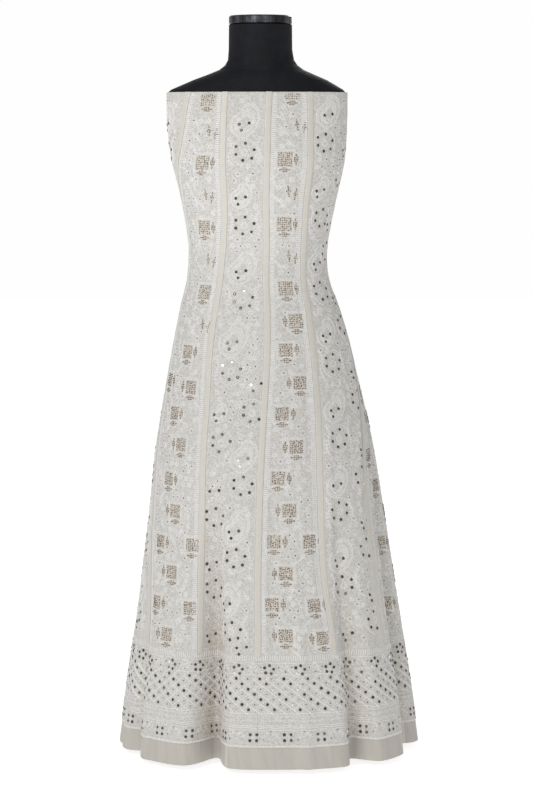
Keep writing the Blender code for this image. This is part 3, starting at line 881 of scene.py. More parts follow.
def dark_chrome(colours):
    """Smoked chrome: upright streaks of light and dark painted into its colour as reflections, a soft
    polish.
    """
    material, shader, node = new_material("dark_chrome", {"Roughness": 0.22, "Metallic": 1.0})
    place = node(COORDINATES).outputs["Object"]
    upright = node(MAPPING, None, {"Vector": place, "Scale": (1.0, 1.0, 0.02)})
    # Painted reflection: upright light and dark streaks stand in for the surroundings mirrored in the
    # cap.
    streak = node(RANGE, SMOOTH, (node(NOISE, None, (upright, 1.0 / 0.020)), 0.32, 0.68))
    normal = node("ShaderNodeNewGeometry").outputs["Normal"]
    upward = node("ShaderNodeSeparateXYZ", None, (normal,)).outputs["Z"]
    # Faces that look upward get a plain darker colour, without the streaks.
    level = node(RANGE, SMOOTH, (upward, 0.6, 0.9))
    shaded = node(MIX, COLOURS, (streak, rgba(colours.chrome, 0.18), rgba(colours.chrome)))
    shaded = node(MIX, COLOURS, (level, shaded, rgba(colours.chrome, 0.35)))
    smear = node(RANGE, SMOOTH, (node(NOISE, None, (place, 1.0 / 0.008)), 0.3, 0.7, 0.16, 0.32))
    set_inputs(shader, {"Base Color": shaded, "Roughness": smear})
    return material


def satin_steel():
    """Steel tube and plate, brushed and lacquered: a soft grey shine with fine brush lines."""
    material, shader, node = new_material("satin_steel", {"Roughness": 0.38, "Metallic": 1.0})
    place = node(COORDINATES).outputs["Object"]
    brushed = node(MAPPING, None, {"Vector": place, "Scale": (1.0, 1.0, 0.05)})
    streak = node(NOISE, None, (brushed, 1.0 / 0.0015))
    shaded = node(MIX, COLOURS, (streak, rgba(linear("A6A7AA")), rgba(linear("C4C5C8"))))
    bump = node(BUMP, None, {"Height": streak, "Distance": 0.0001, "Strength": 0.4})
    set_inputs(shader, {"Base Color": shaded, "Normal": bump})
    return material


def sewn_tree(name, shape, settings, sizes):
    """A tree that sews one shape on every point, turned by the point's own out and along.

    Each size is a named input of the tree and an input of the shape.
    """
    tree = bpy.data.node_groups.new(name, "GeometryNodeTree")
    tree.interface.new_socket("Geometry", in_out="INPUT", socket_type="NodeSocketGeometry")
    for label, _, kind, value in sizes:
        socket = tree.interface.new_socket(label, in_out="INPUT", socket_type=kind)
        socket.default_value = value
    seed = tree.interface.new_socket("Seed", in_out="INPUT", socket_type="NodeSocketInt")
    seed.default_value = 7
    tree.interface.new_socket("Material", in_out="INPUT", socket_type="NodeSocketMaterial")
    tree.interface.new_socket("Geometry", in_out="OUTPUT", socket_type="NodeSocketGeometry")
    node = partial(add_node, tree)
    given = node("NodeGroupInput")
    piece = node(shape, settings, {target: given.outputs[label] for label, target, _, _ in sizes})
    read = {}
    for label in ("out", "along", "size"):
        read[label] = node(
            "GeometryNodeInputNamedAttribute", {"data_type": "FLOAT_VECTOR"}, {"Name": label}
        ).outputs[0]
    turned = node(
        "FunctionNodeAxesToRotation", {"primary_axis": "Z", "secondary_axis": "X"},
        (read["out"], read["along"]),
    )
    sewn = node(
        "GeometryNodeInstanceOnPoints", None,
        {
            "Points": given.outputs["Geometry"], "Instance": piece.outputs["Mesh"],
            "Rotation": turned, "Scale": read["size"],
        },
    )
    chance = node("FunctionNodeRandomValue", {"data_type": "FLOAT"}, {"Seed": given.outputs["Seed"]})
    toned = node(
        "GeometryNodeStoreNamedAttribute", {"data_type": "FLOAT", "domain": "INSTANCE"},
        {"Geometry": sewn, "Name": "tone", "Value": chance},
    )
    real = node("GeometryNodeRealizeInstances", None, {"Geometry": toned})
    coated = node(
        "GeometryNodeSetMaterial", None, {"Geometry": real, "Material": given.outputs["Material"]}
    )
    node("NodeGroupOutput", None, {"Geometry": coated})
    return tree


def cone_tree(name, sides, radius, flat, rise):
    """A tree that sews cones: how many sides, the radius at the foot and the top, and the rise."""
    return sewn_tree(
        name, "GeometryNodeMeshCone", {"fill_type": "NGON"},
        (
            ("Sides", "Vertices", "NodeSocketInt", sides),
            ("Radius", "Radius Bottom", "NodeSocketFloat", radius),
            ("Flat", "Radius Top", "NodeSocketFloat", flat),
            ("Rise", "Depth", "NodeSocketFloat", rise),
        ),
    )


def sew(name, tree, spots, lift, values, material):
    """Sews a tree's shape on spots: rows of place, across, height, angle, length, width, depth."""
    place, across, height, angle, length, width, depth = np.array(spots, dtype=float).T
    arcs = CLOTH.arc(place, height) + across
    points, out, side, _ = CLOTH.read(arcs, height)
    up = np.cross(out, side)
    along = side * np.cos(angle)[:, None] + up * np.sin(angle)[:, None]
    mesh = bpy.data.meshes.new(name + "_spots")
    mesh.from_pydata((points + out * lift).tolist(), [], [])
    size = np.stack((length, width, depth), axis=1)
    for label, vectors in (("out", out), ("along", along), ("size", size)):
        attribute = mesh.attributes.new(label, "FLOAT_VECTOR", "POINT")
        attribute.data.foreach_set("vector", vectors.astype(np.float32).ravel())
    holder = bpy.data.objects.new(name + "_spots", mesh)
    bpy.context.scene.collection.objects.link(holder)
    modifier = holder.modifiers.new("sewn", "NODES")
    modifier.node_group = tree
    values = dict(values, Material=material)
    for item in tree.interface.items_tree:
        if item.item_type == "SOCKET" and item.in_out == "INPUT" and item.name in values:
            modifier[item.identifier] = values[item.name]
    bpy.context.view_layer.update()
    depsgraph = bpy.context.evaluated_depsgraph_get()
    made = bpy.data.meshes.new_from_object(holder.evaluated_get(depsgraph))
    made.name = name
    bpy.data.objects.remove(holder, do_unlink=True)
    if not made.polygons:
        raise RuntimeError(f"{name}: nothing was sewn")
    return finish_piece(name, made, material)


def smooth_line(points, pieces, closed=False):
    """Points in metres on a smooth curve through given ones in millimetres."""
    line = np.array(points) * MILLIMETRE
    if closed:
        start = line
        before = np.roll(line, 1, axis=0)
        after = np.roll(line, -1, axis=0)
        later = np.roll(line, -2, axis=0)
    else:
        start = line[:-1]
        before = np.concatenate((line[:1], line[:-2]))
        after = line[1:]
        later = np.concatenate((line[2:], line[-1:]))
    steps = []
    for s in np.arange(pieces) / pieces:
        steps.append(
            (
                (-s + 2.0 * s * s - s ** 3) * before
                + (2.0 - 5.0 * s * s + 3.0 * s ** 3) * start
                + (s + 4.0 * s * s - 3.0 * s ** 3) * after
                + (s ** 3 - s * s) * later
            ) / 2.0
        )
    curve = np.stack(steps, axis=1).reshape(-1, 2)
    return np.concatenate((curve, curve[:1] if closed else line[-1:]))


class Needlework:
    """What is sewn on one kali, gathered before it is made."""

    def __init__(self, sizes, seed):
        self.sizes = sizes
        self.chance = random.Random(seed)
        self.petals = []
        self.bars = []
        self.cords = []
        self.sequins = []
        self.seeds = []
        self.fields = []
        self.taken = []

    def petal(self, place, across, height, angle, length, width):
        rise = self.sizes.thread_height * (0.8 + 0.4 * self.chance.random())
        self.petals.append((place, across, height, angle, length, width, rise))

    def bar(self, place, across, height, angle, length, width):
        self.bars.append((place, across, height, angle, length, width, self.sizes.thread_height))

    def sequin(self, place, across, height):
        width = self.sizes.sequin_width * (0.92 + 0.16 * self.chance.random())
        angle = self.chance.random() * 6.0
        self.sequins.append((place, across, height, angle, width, width, width))

    def seed(self, place, across, height):
        width = self.sizes.seed_width * (0.85 + 0.3 * self.chance.random())
        angle = self.chance.random() * 6.0
        self.seeds.append((place, across, height, angle, width, width, width))

    def cord(self, place, across, heights, width):
        """A line of whitework through points given as distances across and heights."""
        self.cords.append((place, tuple(across), tuple(heights), width))

    def take(self, place, across, height, radius):
        self.taken.append((place, across, height, radius))

    def stitches_between(self, place, across, height, inner, outer, pitch, width):
        """Short stitches from one line to another that runs beside it."""
        reach = np.concatenate(((0.0,), np.cumsum(np.linalg.norm(np.diff(outer, axis=0), axis=1))))
        count = int(reach[-1] / pitch)
        for i in range(count):
            at = reach[-1] * (i + 0.5) / count
            x1, z1, x2, z2 = (
                float(np.interp(at, reach, values))
                for values in (inner[:, 0], inner[:, 1], outer[:, 0], outer[:, 1])
            )
            self.petal(
                place, across + (x1 + x2) / 2.0, height + (z1 + z2) / 2.0,
                math.atan2(z2 - z1, x2 - x1), 0.92 * math.hypot(x2 - x1, z2 - z1), width,
            )

    def paisley(self, place, across, height, size):
        """A paisley of rows of radiating stitches between outlines."""
        line = smooth_line(PAISLEY, 3, closed=True)
        middle = np.array(PAISLEY_MIDDLE) * MILLIMETRE
        rows = [(middle + (line - middle) * share) * size for share in PAISLEY_ROWS]
        for number, row in enumerate(rows):
            if number != 1:
                self.cord(place, across + row[:, 0], height + row[:, 1], PAISLEY_THREAD)
        for outer, inner in zip(rows, rows[1:]):
            self.stitches_between(place, across, height, inner, outer, *PAISLEY_STITCH)

    def vine(self, place, across, height, table, size):
        """A climbing stem with a pair of leaves at every other point of its curve."""
        line = smooth_line(table, 4) * size
        self.cord(place, across + line[:, 0], height + line[:, 1], THREAD)
        for i in range(2, len(line) - 1, 2):
            heading = line[i + 1] - line[i - 1]
            turn = math.atan2(heading[1], heading[0])
            for side in (-1.0, 1.0):
                tilt = turn + side * VINE_LEAF_TILT
                self.petal(
                    place, across + line[i, 0] + VINE_LEAF_AWAY * math.cos(tilt),
                    height + line[i, 1] + VINE_LEAF_AWAY * math.sin(tilt), tilt, *VINE_LEAF,
                )

    def satin_leaf(self, place, across, height, angle, length, width):
        """A leaf filled edge to edge with slanting stitches."""
        count = int(length / SATIN_STEP)
        for i in range(count):
            share = (i + 0.5) / count
            away = (share - 0.5) * length
            room = width * math.sin(math.pi * share) ** LEAF_FULLNESS
            self.petal(
                place, across + away * math.cos(angle), height + away * math.sin(angle),
                angle + SATIN_SLANT, max(room, SATIN_SHORTEST), SATIN_WIDE,
            )

    def rosette(self, place, across, height, petals, length, inner, width):
        """Petals round a middle."""
        for i in range(petals):
            angle = math.tau * (i + 0.5) / petals
            away = inner + length / 2.0
            self.petal(
                place, across + away * math.cos(angle), height + away * math.sin(angle),
                angle, length, width,
            )

    def spray(self, place, across, height, angle, reach, leaves, bend):
        """A curved stem with leaves in pairs and one at the tip."""
        xs, zs = [across], [height]
        heading = angle
        step = reach / leaves
        for i in range(leaves):
            heading += bend / leaves
            xs.append(xs[-1] + step * math.cos(heading))
            zs.append(zs[-1] + step * math.sin(heading))
            size = SPRAY_LEAF * (1.0 - SPRAY_TAPER * i / leaves)
            for side in (-1, 1):
                turn = heading + side * SPRAY_LEAF_TILT
                self.petal(
                    place, xs[-1] + size * SPRAY_LEAF_AWAY * math.cos(turn),
                    zs[-1] + size * SPRAY_LEAF_AWAY * math.sin(turn), turn, size,
                    SPRAY_LEAF_WIDE,
                )
        self.petal(
            place, xs[-1] + SPRAY_TIP / 2.0 * math.cos(heading),
            zs[-1] + SPRAY_TIP / 2.0 * math.sin(heading), heading, SPRAY_TIP, SPRAY_LEAF_WIDE,
        )
        self.cord(place, xs, zs, FINE_THREAD)


def each_row(rows, hidden, kali):
    """The front table's rows on a kali that it covers, or else the hidden ones moved there."""
    found = [row for row in rows[1:] if int(row[0]) == kali]
    return found or [(kali + row[0], *row[1:]) for row in hidden[1:]]


def spans(kali, place, height):
    """Metres from a place on a kali to its left seam and to its right seam."""
    start, here, end = CLOTH.arc(np.array([kali, place, kali + 1.0]), np.full(3, height))
    return float(here - start), float(end - here)


def add_rosette_panel(work, kali):
    """Sequin rings and triples, each triple in its paisley and each ring with its vines."""
    ring = work.sizes.ring_radius
    for place, height, lean in each_row(ROSETTES, HIDDEN_ROSETTES, kali):
        facing = -1.0 if kali % 4 == 0 and height < RING_TURNS_BELOW else 1.0
        for across, up in RING:
            work.sequin(place, facing * ring * across, height + ring * up)
        for row in RING_PETALS[1:]:
            work.rosette(place, 0.0, height, *row)
        turns = np.radians(np.linspace(-80.0, 262.0, 30))
        work.cord(
            place, RING_CURL * np.cos(turns), height + RING_CURL * np.sin(turns), THREAD,
        )
        work.take(place, 0.0, height, 0.030)
        room = min(spans(kali, place, height)) - 0.009
        if room > VINE_ROOM:
            for table in (VINE, LEFT_VINE):
                work.vine(place, 0.0, height, table, min(room / VINE_REACH, VINE_LARGEST))
        top = height + TRIPLE_ABOVE_RING - (TRIPLE_DROP if height < RING_TURNS_BELOW else 0.0)
        if top > TOP_EDGE - 0.012:
            continue
        for across, up in TRIPLE:
            work.sequin(place, lean + across, top + up)
        left, right = spans(kali, place, top)
        room = min(left + lean, right - lean) - 0.008
        size = min(
            room / PAISLEY_REACH, PAISLEY_LARGEST, (TOP_EDGE - 0.004 - top) / PAISLEY_TALL
        )
        if size > PAISLEY_SMALLEST:
            work.paisley(place, lean, top, size)
            work.take(place, lean + 0.003, top + 0.010 * size, 0.037 * size)


def add_lone_triples(work, kali):
    """Triples low down that stand over the border without a ring."""
    for place, height in LONE_TRIPLES:
        if int(place) == kali:
            for across, up in TRIPLE:
                work.sequin(place, across, height + up)
            work.take(place, 0.0, height, 0.020)


def lens_points(across, height, angle, length, width, pieces):
    """The outline of a leaf as points on each side of its long axis."""
    sides = []
    for side in (-1.0, 1.0):
        row = []
        for i in range(pieces + 1):
            share = i / pieces
            along = (share - 0.5) * length
            off = side * width / 2.0 * math.sin(math.pi * share) ** LEAF_FULLNESS
            x = across + along * math.cos(angle) - off * math.sin(angle)
            z = height + along * math.sin(angle) + off * math.cos(angle)
            row.append((x, z))
        sides.append(row)
    return sides


def add_field_leaf(work, place, across, height, angle, length, width):
    """A leaf-shaped field of seed beads in a white outline."""
    left, right = lens_points(across, height, angle, length, width, 6)
    work.fields.append((place, left, right))
    for row in lens_points(across, height, angle, length + 0.004, width + 0.004, 6):
        work.cord(place, [p[0] for p in row], [p[1] for p in row], LEAF_THREAD)
    across_count = int(width / 2.0 / LEAF_STEP)
    along_count = int(length / 2.0 / LEAF_STEP)
    for i in range(-along_count, along_count + 1):
        for j in range(-across_count, across_count + 1):
            room = width / 2.0 * math.cos(math.pi * i * LEAF_STEP / length) - 0.0006
            if abs(j * LEAF_STEP) <= room:
                along = i * LEAF_STEP + LEAF_STRAY * (work.chance.random() - 0.5)
                aside = j * LEAF_STEP + LEAF_STRAY * (work.chance.random() - 0.5)
                x = along * math.cos(angle) - aside * math.sin(angle)
                z = along * math.sin(angle) + aside * math.cos(angle)
                work.seed(place, across + x, height + z)
    work.take(place, across, height, length / 2.0)


def add_frame(work, place, height, half_wide, half_high):
    """A line of thread round a square field, with short stitches from it out to a wider outline."""
    inner = np.array(
        [(x * half_wide, z * half_high) for x, z in ((-1, -1), (1, -1), (1, 1), (-1, 1), (-1, -1))]
    )
    shares = np.linspace(0.0, 4.0, 33)
    inner = np.stack([np.interp(shares, np.arange(5.0), inner[:, i]) for i in (0, 1)], axis=1)
    outer = inner * (1.0 + FRAME_WIDE / half_wide)
    shown = height + outer[:, 1] < TOP_EDGE - 0.003
    if not shown.all():
        return
    work.cord(place, inner[:, 0], height + inner[:, 1], THREAD)
    work.stitches_between(place, 0.0, height, inner, outer, *FRAME_STITCH)


def add_square_panel(work, kali):
    """Square fields of seed beads with their leaves, framed in whitework."""
    for place, height, beside in each_row(SQUARES, HIDDEN_SQUARES, kali):
        share = 1.0 if height > SKIRT_TOP else SKIRT_SHARE
        half_wide, half_high = share * SQUARE_WIDE / 2.0, share * SQUARE_HIGH / 2.0
        top = min(half_high, TOP_EDGE - 0.003 - height)
        steps = 4
        foot = height - half_high
        left = [(-half_wide, foot + (top + half_high) * i / steps) for i in range(steps + 1)]
        right = [(half_wide, z) for _, z in left]
        work.fields.append((place, left, right))
        for i in range(-3, 4):
            for j in range(-3, 4):
                x = share * i * SQUARE_STEP[0] + SQUARE_STRAY[0] * (work.chance.random() - 0.5)
                z = share * j * SQUARE_STEP[1] + SQUARE_STRAY[1] * (work.chance.random() - 0.5)
                if z < top and work.chance.random() > SQUARE_MISSING:
                    work.seed(place, x, height + z)
        add_frame(work, place, height, half_wide + FRAME_AWAY, half_high + FRAME_AWAY)
        add_field_leaf(work, place, 0.0, height - LEAF_AWAY, 0.0, LEAF_LONG, LEAF_WIDE)
        if beside:
            add_field_leaf(
                work, place, beside * (LEAF_AWAY + 0.002), height, math.pi / 2, LEAF_LONG * 0.9,
                LEAF_WIDE,
            )
            work.spray(
                place, -beside * 0.026, height - 0.012, math.radians(80), 0.026, 3, beside * 0.7
            )
            work.satin_leaf(
                place, -beside * 0.020, height - 0.034, 1.57 - beside * 0.9, 0.026, 0.0095
            )
        lower = height - LEAF_PAIR_BELOW
        if height > PAIR_LOWEST and not (kali == 3 and height < 1.0):
            for across, up, degrees, length, width in PAIR_SATIN[1:]:
                work.satin_leaf(place, across, lower + up, math.radians(degrees), length, width)
            for side in (-1.0, 1.0):
                add_field_leaf(
                    work, place, 0.0180 + side * 0.0075, lower - side * 0.003,
                    math.radians(90 - side * 8), LEAF_LONG * 0.95, LEAF_WIDE * 0.8,
                )
        work.take(place, 0.0, height, 0.024)


def add_edge_work(work, kali):
    """A line of thread beside each band, and ladder stitches on the kalis of squares."""
    sizes = work.sizes
    reach = BAND_WIDTH / 2.0 + 0.0016 + sizes.rung_length / 2.0
    count = int((TOP_EDGE - BORDER_TOP - 0.006) / sizes.rung_pitch)
    heights = np.linspace(TOP_EDGE - 0.003, BORDER_TOP + 0.002, 120)
    for seam, side in ((kali, 1.0), (kali + 1, -1.0)):
        beside = np.full(len(heights), side * (BAND_WIDTH / 2.0 + 0.0016))
        work.cord(seam, beside, heights, FINE_THREAD)
        if kali % 2 == 0:
            continue
        for i in range(count):
            height = TOP_EDGE - 0.003 - i * sizes.rung_pitch
            work.bar(seam, side * reach, height, 0.0, sizes.rung_length, 0.0023)
        beyond = np.full(len(heights), side * (reach + sizes.rung_length / 2.0 + 0.001))
        work.cord(seam, beyond, heights, FINE_THREAD)


def add_filling(work, kali):
    """Flowers, sprigs and ringed beads in what room the larger work leaves."""
    chance = work.chance
    taken = np.array(work.taken)
    taken_arcs = CLOTH.arc(taken[:, 0], taken[:, 2]) + taken[:, 1]
    middle = kali + 0.5
    margin = SQUARE_MARGIN if kali % 2 else RING_MARGIN
    rows = np.arange(BORDER_TOP + 0.024, TOP_EDGE - 0.008, FILLING_PITCH * FILLING_ROW_SHARE)
    for line, height in enumerate(rows):
        left, right = spans(kali, middle, height)
        count = int((left + right) / FILLING_PITCH) + 1
        for i in range(-count, count + 1):
            away = (i + 0.5 * (line % 2)) * FILLING_PITCH + (chance.random() - 0.5) * FILLING_STRAY
            z = height + (chance.random() - 0.5) * FILLING_STRAY
            turn = chance.random() * math.tau
            kind = chance.random()
            if away < margin - left or away > right - margin:
                continue
            arc = float(CLOTH.arc(np.array([middle]), np.array([z]))[0]) + away
            if (np.hypot(taken_arcs - arc, taken[:, 2] - z) < taken[:, 3] + 0.003).any():
                continue
            if kind < BEADED_SHARE:
                work.seed(middle, away, z)
                work.rosette(middle, away, z, *BEADED_FLOWER)
            elif kind < FLOWER_SHARE:
                work.rosette(middle, away, z, *FILLING_FLOWER)
            else:
                work.spray(middle, away, z, turn, *FILLING_SPRAY)


def border_spots(kali, pitch, height, shift=0.0):
    """Spots spread evenly round the whole border that fall on one kali: number, way off, pitch.

    Their number is even and the same at every height, so that rows of them line up.
    """
    half_count = int(round(float(CLOTH.girths(np.array([BORDER_MIDDLE]))[0]) / pitch / 2.0))
    girth = float(CLOTH.girths(np.array([height]))[0])
    pitch = girth / (2 * half_count)
    here = float(CLOTH.arc(np.array([kali + 0.5]), np.array([height]))[0])
    left, right = spans(kali, kali + 0.5, height)
    found = []
    for i in range(2 * half_count):
        away = (i + 0.5 + shift) * pitch % girth - here
        if -left <= away < right:
            found.append((i, away, pitch))
    return found


def add_border(work, kali):
    """The embroidered border: flowers, lattice, zigzags, groups of four and the worked hem."""
    middle = kali + 0.5
    for _, away, _ in border_spots(kali, LADDER_PITCH, LADDER_ROW):
        work.bar(middle, away, LADDER_ROW, math.pi / 2, *LADDER_BAR)
    for _, away, _ in border_spots(kali, FLOWER_PITCH, FLOWER_ROW, FLOWER_SHIFT):
        for i in range(5):
            angle = math.radians(80) + math.tau * i / 5
            work.sequin(
                middle, away + FLOWER_RADIUS * math.cos(angle),
                FLOWER_ROW + 0.9 * FLOWER_RADIUS * math.sin(angle),
            )
        work.rosette(middle, away, FLOWER_ROW, *FLOWER_MIDDLE)
        for share, up in FLOWER_SEEDS:
            work.seed(middle, away + FLOWER_PITCH * share, FLOWER_ROW + up)
        for side, turn in ((1.0, 0.5), (-1.0, math.pi - 0.5)):
            work.spray(
                middle, away + side * 0.018, FLOWER_ROW - 0.006, turn, 0.020, 3, side * 0.8
            )
    step = (LATTICE_TOP - LATTICE_FOOT) / LATTICE_ROWS
    for row in range(LATTICE_ROWS):
        height = LATTICE_TOP - (row + 0.5) * step
        for number, away, pitch in border_spots(kali, LATTICE_CELL, height):
            away += pitch / 2.0 * (row % 2)
            if (number - row // 2) % 2 == 0:
                work.sequin(middle, away, height)
            else:
                work.seed(middle, away, height)
            for rise in (-1.0, 1.0):
                xs = [away + pitch / 2.0 * (share - 1.0) for share in (0.0, 0.5, 1.0)]
                zs = [height + rise * step * share for share in (0.0, 0.5, 1.0)]
                work.cord(middle, xs, zs, LATTICE_THREAD)
    for base in ZIGZAG_ROWS:
        for _, away, pitch in border_spots(kali, ZIGZAG_PITCH, base):
            for side in (-1.0, 1.0):
                work.petal(middle, away + side * pitch / 4.0, base, side * 0.9, 0.0064, 0.0020)
    for base in ROUND_LINES:
        add_round_line(work, kali, base)
    for _, away, _ in border_spots(kali, GROUP_PITCH, GROUP_ROW, GROUP_SHIFT):
        for side in (-1.0, 1.0):
            for up in (-1.0, 1.0):
                work.sequin(middle, away + side * GROUP_HALF[0], GROUP_ROW + up * GROUP_HALF[1])
        work.rosette(middle, away, GROUP_ROW, *GROUP_MIDDLE)
        for on, up in GROUP_SEEDS:
            work.seed(middle, away + on, GROUP_ROW + up)
        for side, turn in ((-1.0, math.pi - 0.2), (1.0, 0.2)):
            work.spray(middle, away + side * 0.014, GROUP_ROW, turn, 0.014, 2, side * 0.5)
    for _, away, _ in border_spots(kali, HEM_PITCH, OUTER_HEM + 0.003):
        work.bar(middle, away, OUTER_HEM + 0.0028, math.pi / 2, *HEM_BAR)


def add_round_line(work, kali, height):
    """A cord round the border from seam to seam at one height."""
    left, right = spans(kali, kali + 0.5, height)
    xs = np.linspace(0.0006 - left, right - 0.0006, 31)
    work.cord(kali + 0.5, xs, height + 0.0008 * np.sin(180.0 * xs), ROUND_THREAD)


def cord_mesh(name, cords, rise):
    """Closed three-sided ridges along lines on the cloth."""
    counts = [len(cord[1]) for cord in cords]
    place, width = (np.repeat([cord[i] for cord in cords], counts) for i in (0, 3))
    across, height = (np.concatenate([cord[i] for cord in cords]) for i in (1, 2))
    directions = []
    for _, xs, zs, _ in cords:
        line = np.stack((xs, zs), axis=1)
        heading = np.gradient(line, axis=0)
        length = np.linalg.norm(heading, axis=1, keepdims=True)
        directions.append(heading / np.maximum(length, 1e-9))
    direction = np.concatenate(directions)
    height = np.clip(height, OUTER_HEM + 0.0005, TOP_EDGE - 0.0005)
    arcs = CLOTH.arc(place, height) + across
    offset = np.stack((-direction[:, 1], direction[:, 0]), axis=1) * width[:, None] / 2.0
    rails = []
    for side, lift in ((-1.0, CORD_LIFT), (1.0, CORD_LIFT), (0.0, rise)):
        spot, out, _, _ = CLOTH.read(arcs + side * offset[:, 0], height + side * offset[:, 1])
        rails.append(spot + out * lift)
    points = np.stack(rails, axis=1).reshape(-1, 3)
    faces = []
    base = 0
    for count in counts:
        for i in range(count - 1):
            low = base + 3 * i
            high = low + 3
            for a, b in ((0, 1), (1, 2), (2, 0)):
                faces.append((low + a, low + b, high + b, high + a))
        faces.append((base + 2, base + 1, base))
        end = base + 3 * (count - 1)
        faces.append((end, end + 1, end + 2))
        base += 3 * count
    mesh = bpy.data.meshes.new(name)
    mesh.from_pydata(points.tolist(), [], faces)
    return mesh


def field_mesh(name, fields):
    """Thin closed patches between the left and right outlines of each field."""
    points, faces = [], []
    for place, left, right in fields:
        left = np.array(left)
        right = np.array(right)
        shares = np.linspace(0.0, 1.0, FIELD_STRIPS + 1)
        grid = left[:, None] + (right - left)[:, None] * shares[None, :, None]
        height = grid[..., 1]
        arcs = CLOTH.arc(np.full_like(height, place), height) + grid[..., 0]
        spot, out, _, _ = CLOTH.read(arcs, height)
        faces.extend(wall_faces(*height.shape, start=len(points)))
        for lift in (FIELD_LIFT, -FIELD_LIFT):
            points.extend((spot + out * lift).reshape(-1, 3).tolist())
    mesh = bpy.data.meshes.new(name)
    mesh.from_pydata(points, [], faces)
    mesh.update()
    return mesh


GATHERED = {}


def gathered_work(context):
    """The needlework of every kali, planned once."""
    if not GATHERED:
        for kali in range(1, KALIS + 1):
            work = Needlework(context.scene.gown_sizes, 100 + kali)
            if kali % 2 == 0:
                add_rosette_panel(work, kali)
                add_lone_triples(work, kali)
            else:
                add_square_panel(work, kali)
            add_edge_work(work, kali)
            add_filling(work, kali)
            add_border(work, kali)
            GATHERED[kali] = work
    return GATHERED


class GOWN_OT_stage(bpy.types.Operator):
    """Camera at the photograph's angle, pale floor and soft studio light"""

    bl_idname = "gown.stage"
    bl_label = "Stage"

    def execute(self, context):
        scene = context.scene
        data = bpy.data.cameras.new("camera")
        data.sensor_fit = "VERTICAL"
        data.sensor_height = SENSOR_HEIGHT
        data.lens = CAMERA_FOCAL_PIXELS / PHOTO_HEIGHT * SENSOR_HEIGHT
        data.clip_end = 60.0
        camera = bpy.data.objects.new("camera", data)
        camera.location = CAMERA_PLACE
        camera.rotation_euler = (math.radians(90.0 - CAMERA_TILT), 0.0, 0.0)
        scene.collection.objects.link(camera)
        scene.camera = camera

        mesh = bpy.data.meshes.new("floor")
        half = FLOOR_HALF
        mesh.from_pydata(
            [(-half, -half, 0.0), (half, -half, 0.0), (half, half, 0.0), (-half, half, 0.0)],
            [], [(0, 1, 2, 3)],
        )
        floor = bpy.data.objects.new("floor", mesh)
        material, shader, node = new_material(
            "lit_white_acrylic",
            {"Roughness": 0.95, "Emission Color": WHITE, "Emission Strength": 0.80},
        )
        cloud = node(NOISE, None, (node(COORDINATES).outputs["Object"], 1.0 / 0.5))
        tone = node(MIX, COLOURS, (cloud, rgba(linear("CBCBCA")), rgba(linear("CECECD"))))
        set_inputs(shader, {"Base Color": tone})
        mesh.materials.append(material)
        scene.collection.objects.link(floor)
        floor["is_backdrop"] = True

        world = bpy.data.worlds.new("studio")
        world.use_nodes = True
        world.node_tree.nodes.clear()
        node = partial(add_node, world.node_tree)
        path = node("ShaderNodeLightPath").outputs["Is Camera Ray"]
        lit = node("ShaderNodeBackground", None, {"Color": WHITE, "Strength": WORLD_LIGHT})
        seen = node("ShaderNodeBackground", None, {"Color": WHITE, "Strength": WORLD_SEEN})
        mixed = node("ShaderNodeMixShader", None, (path, lit, seen))
        node("ShaderNodeOutputWorld", None, {"Surface": mixed})
        scene.world = world
        scene.view_settings.view_transform = "Standard"

        for name, power, size, place in LIGHTS[1:]:
            lamp = bpy.data.lights.new(name, "AREA")
            lamp.energy = power
            lamp.size = size
            light = bpy.data.objects.new(name, lamp)
            light.location = place
            aim = Vector(LIGHT_AIM) - light.location
            light.rotation_euler = aim.to_track_quat("-Z", "Y").to_euler()
            scene.collection.objects.link(light)
        return {"FINISHED"}


class GOWN_OT_form(bpy.types.Operator):
    """Finish of the dress form, its neck cap and its stand"""

    bl_idname = "gown.form"
    bl_label = "Dress form"

    def execute(self, context):
        colours = context.scene.gown_colours
        steel = satin_steel()
        for node, material in (
            ("form_torso", black_jersey(colours)), ("neck_cap", dark_chrome(colours)),
            ("stand_pole", steel), ("stand_base", steel),
        ):
            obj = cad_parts[node]
            for slot in obj.material_slots:
                slot.material = material
        return {"FINISHED"}


class GOWN_OT_kalis(bpy.types.Operator):
    """The ten flared panels as thin shells with their soft creases"""

    bl_idname = "gown.kalis"
    bl_label = "Kalis"

    def execute(self, context):
        sizes = context.scene.gown_sizes
        material = embroidered_georgette(context.scene.gown_colours)
        heights = np.linspace(OUTER_HEM, TOP_EDGE, sizes.kali_rows + 1)
        shares = np.linspace(0.0, 1.0, sizes.kali_columns + 1)
        for kali in range(1, KALIS + 1):
            start = CLOTH.arc(np.full_like(heights, kali), heights) + CLEAR / 2.0
            end = CLOTH.arc(np.full_like(heights, kali + 1.0), heights) - CLEAR / 2.0
            arcs = start[:, None] + (end - start)[:, None] * shares
            obj, width, length, area = cloth_shell(
                f"kali_{kali:02d}", arcs, heights, 0.0, sizes.cloth_wall, material
            )
        return {"FINISHED"}


class GOWN_OT_bands(bpy.types.Operator):
    """The ten cream bands over the seams"""

    bl_idname = "gown.bands"
    bl_label = "Seam bands"

    def execute(self, context):
        sizes = context.scene.gown_sizes
        material = satin_band(context.scene.gown_colours)
        heights = np.linspace(BORDER_TOP, TOP_EDGE, 121)
        shares, crown = np.array(BAND_PROFILE[1:]).T
        away = BAND_WIDTH / 2.0 * shares
        for seam in range(1, KALIS + 1):
            arcs = CLOTH.arc(np.full_like(heights, seam), heights)[:, None] + away
            lift = CLEAR + sizes.band_wall + np.repeat(crown[None, :], len(heights), axis=0)
            obj, width, length, _ = cloth_shell(
                f"seam_band_{seam:02d}", arcs, heights, lift, sizes.band_wall, material,
            )
        return {"FINISHED"}


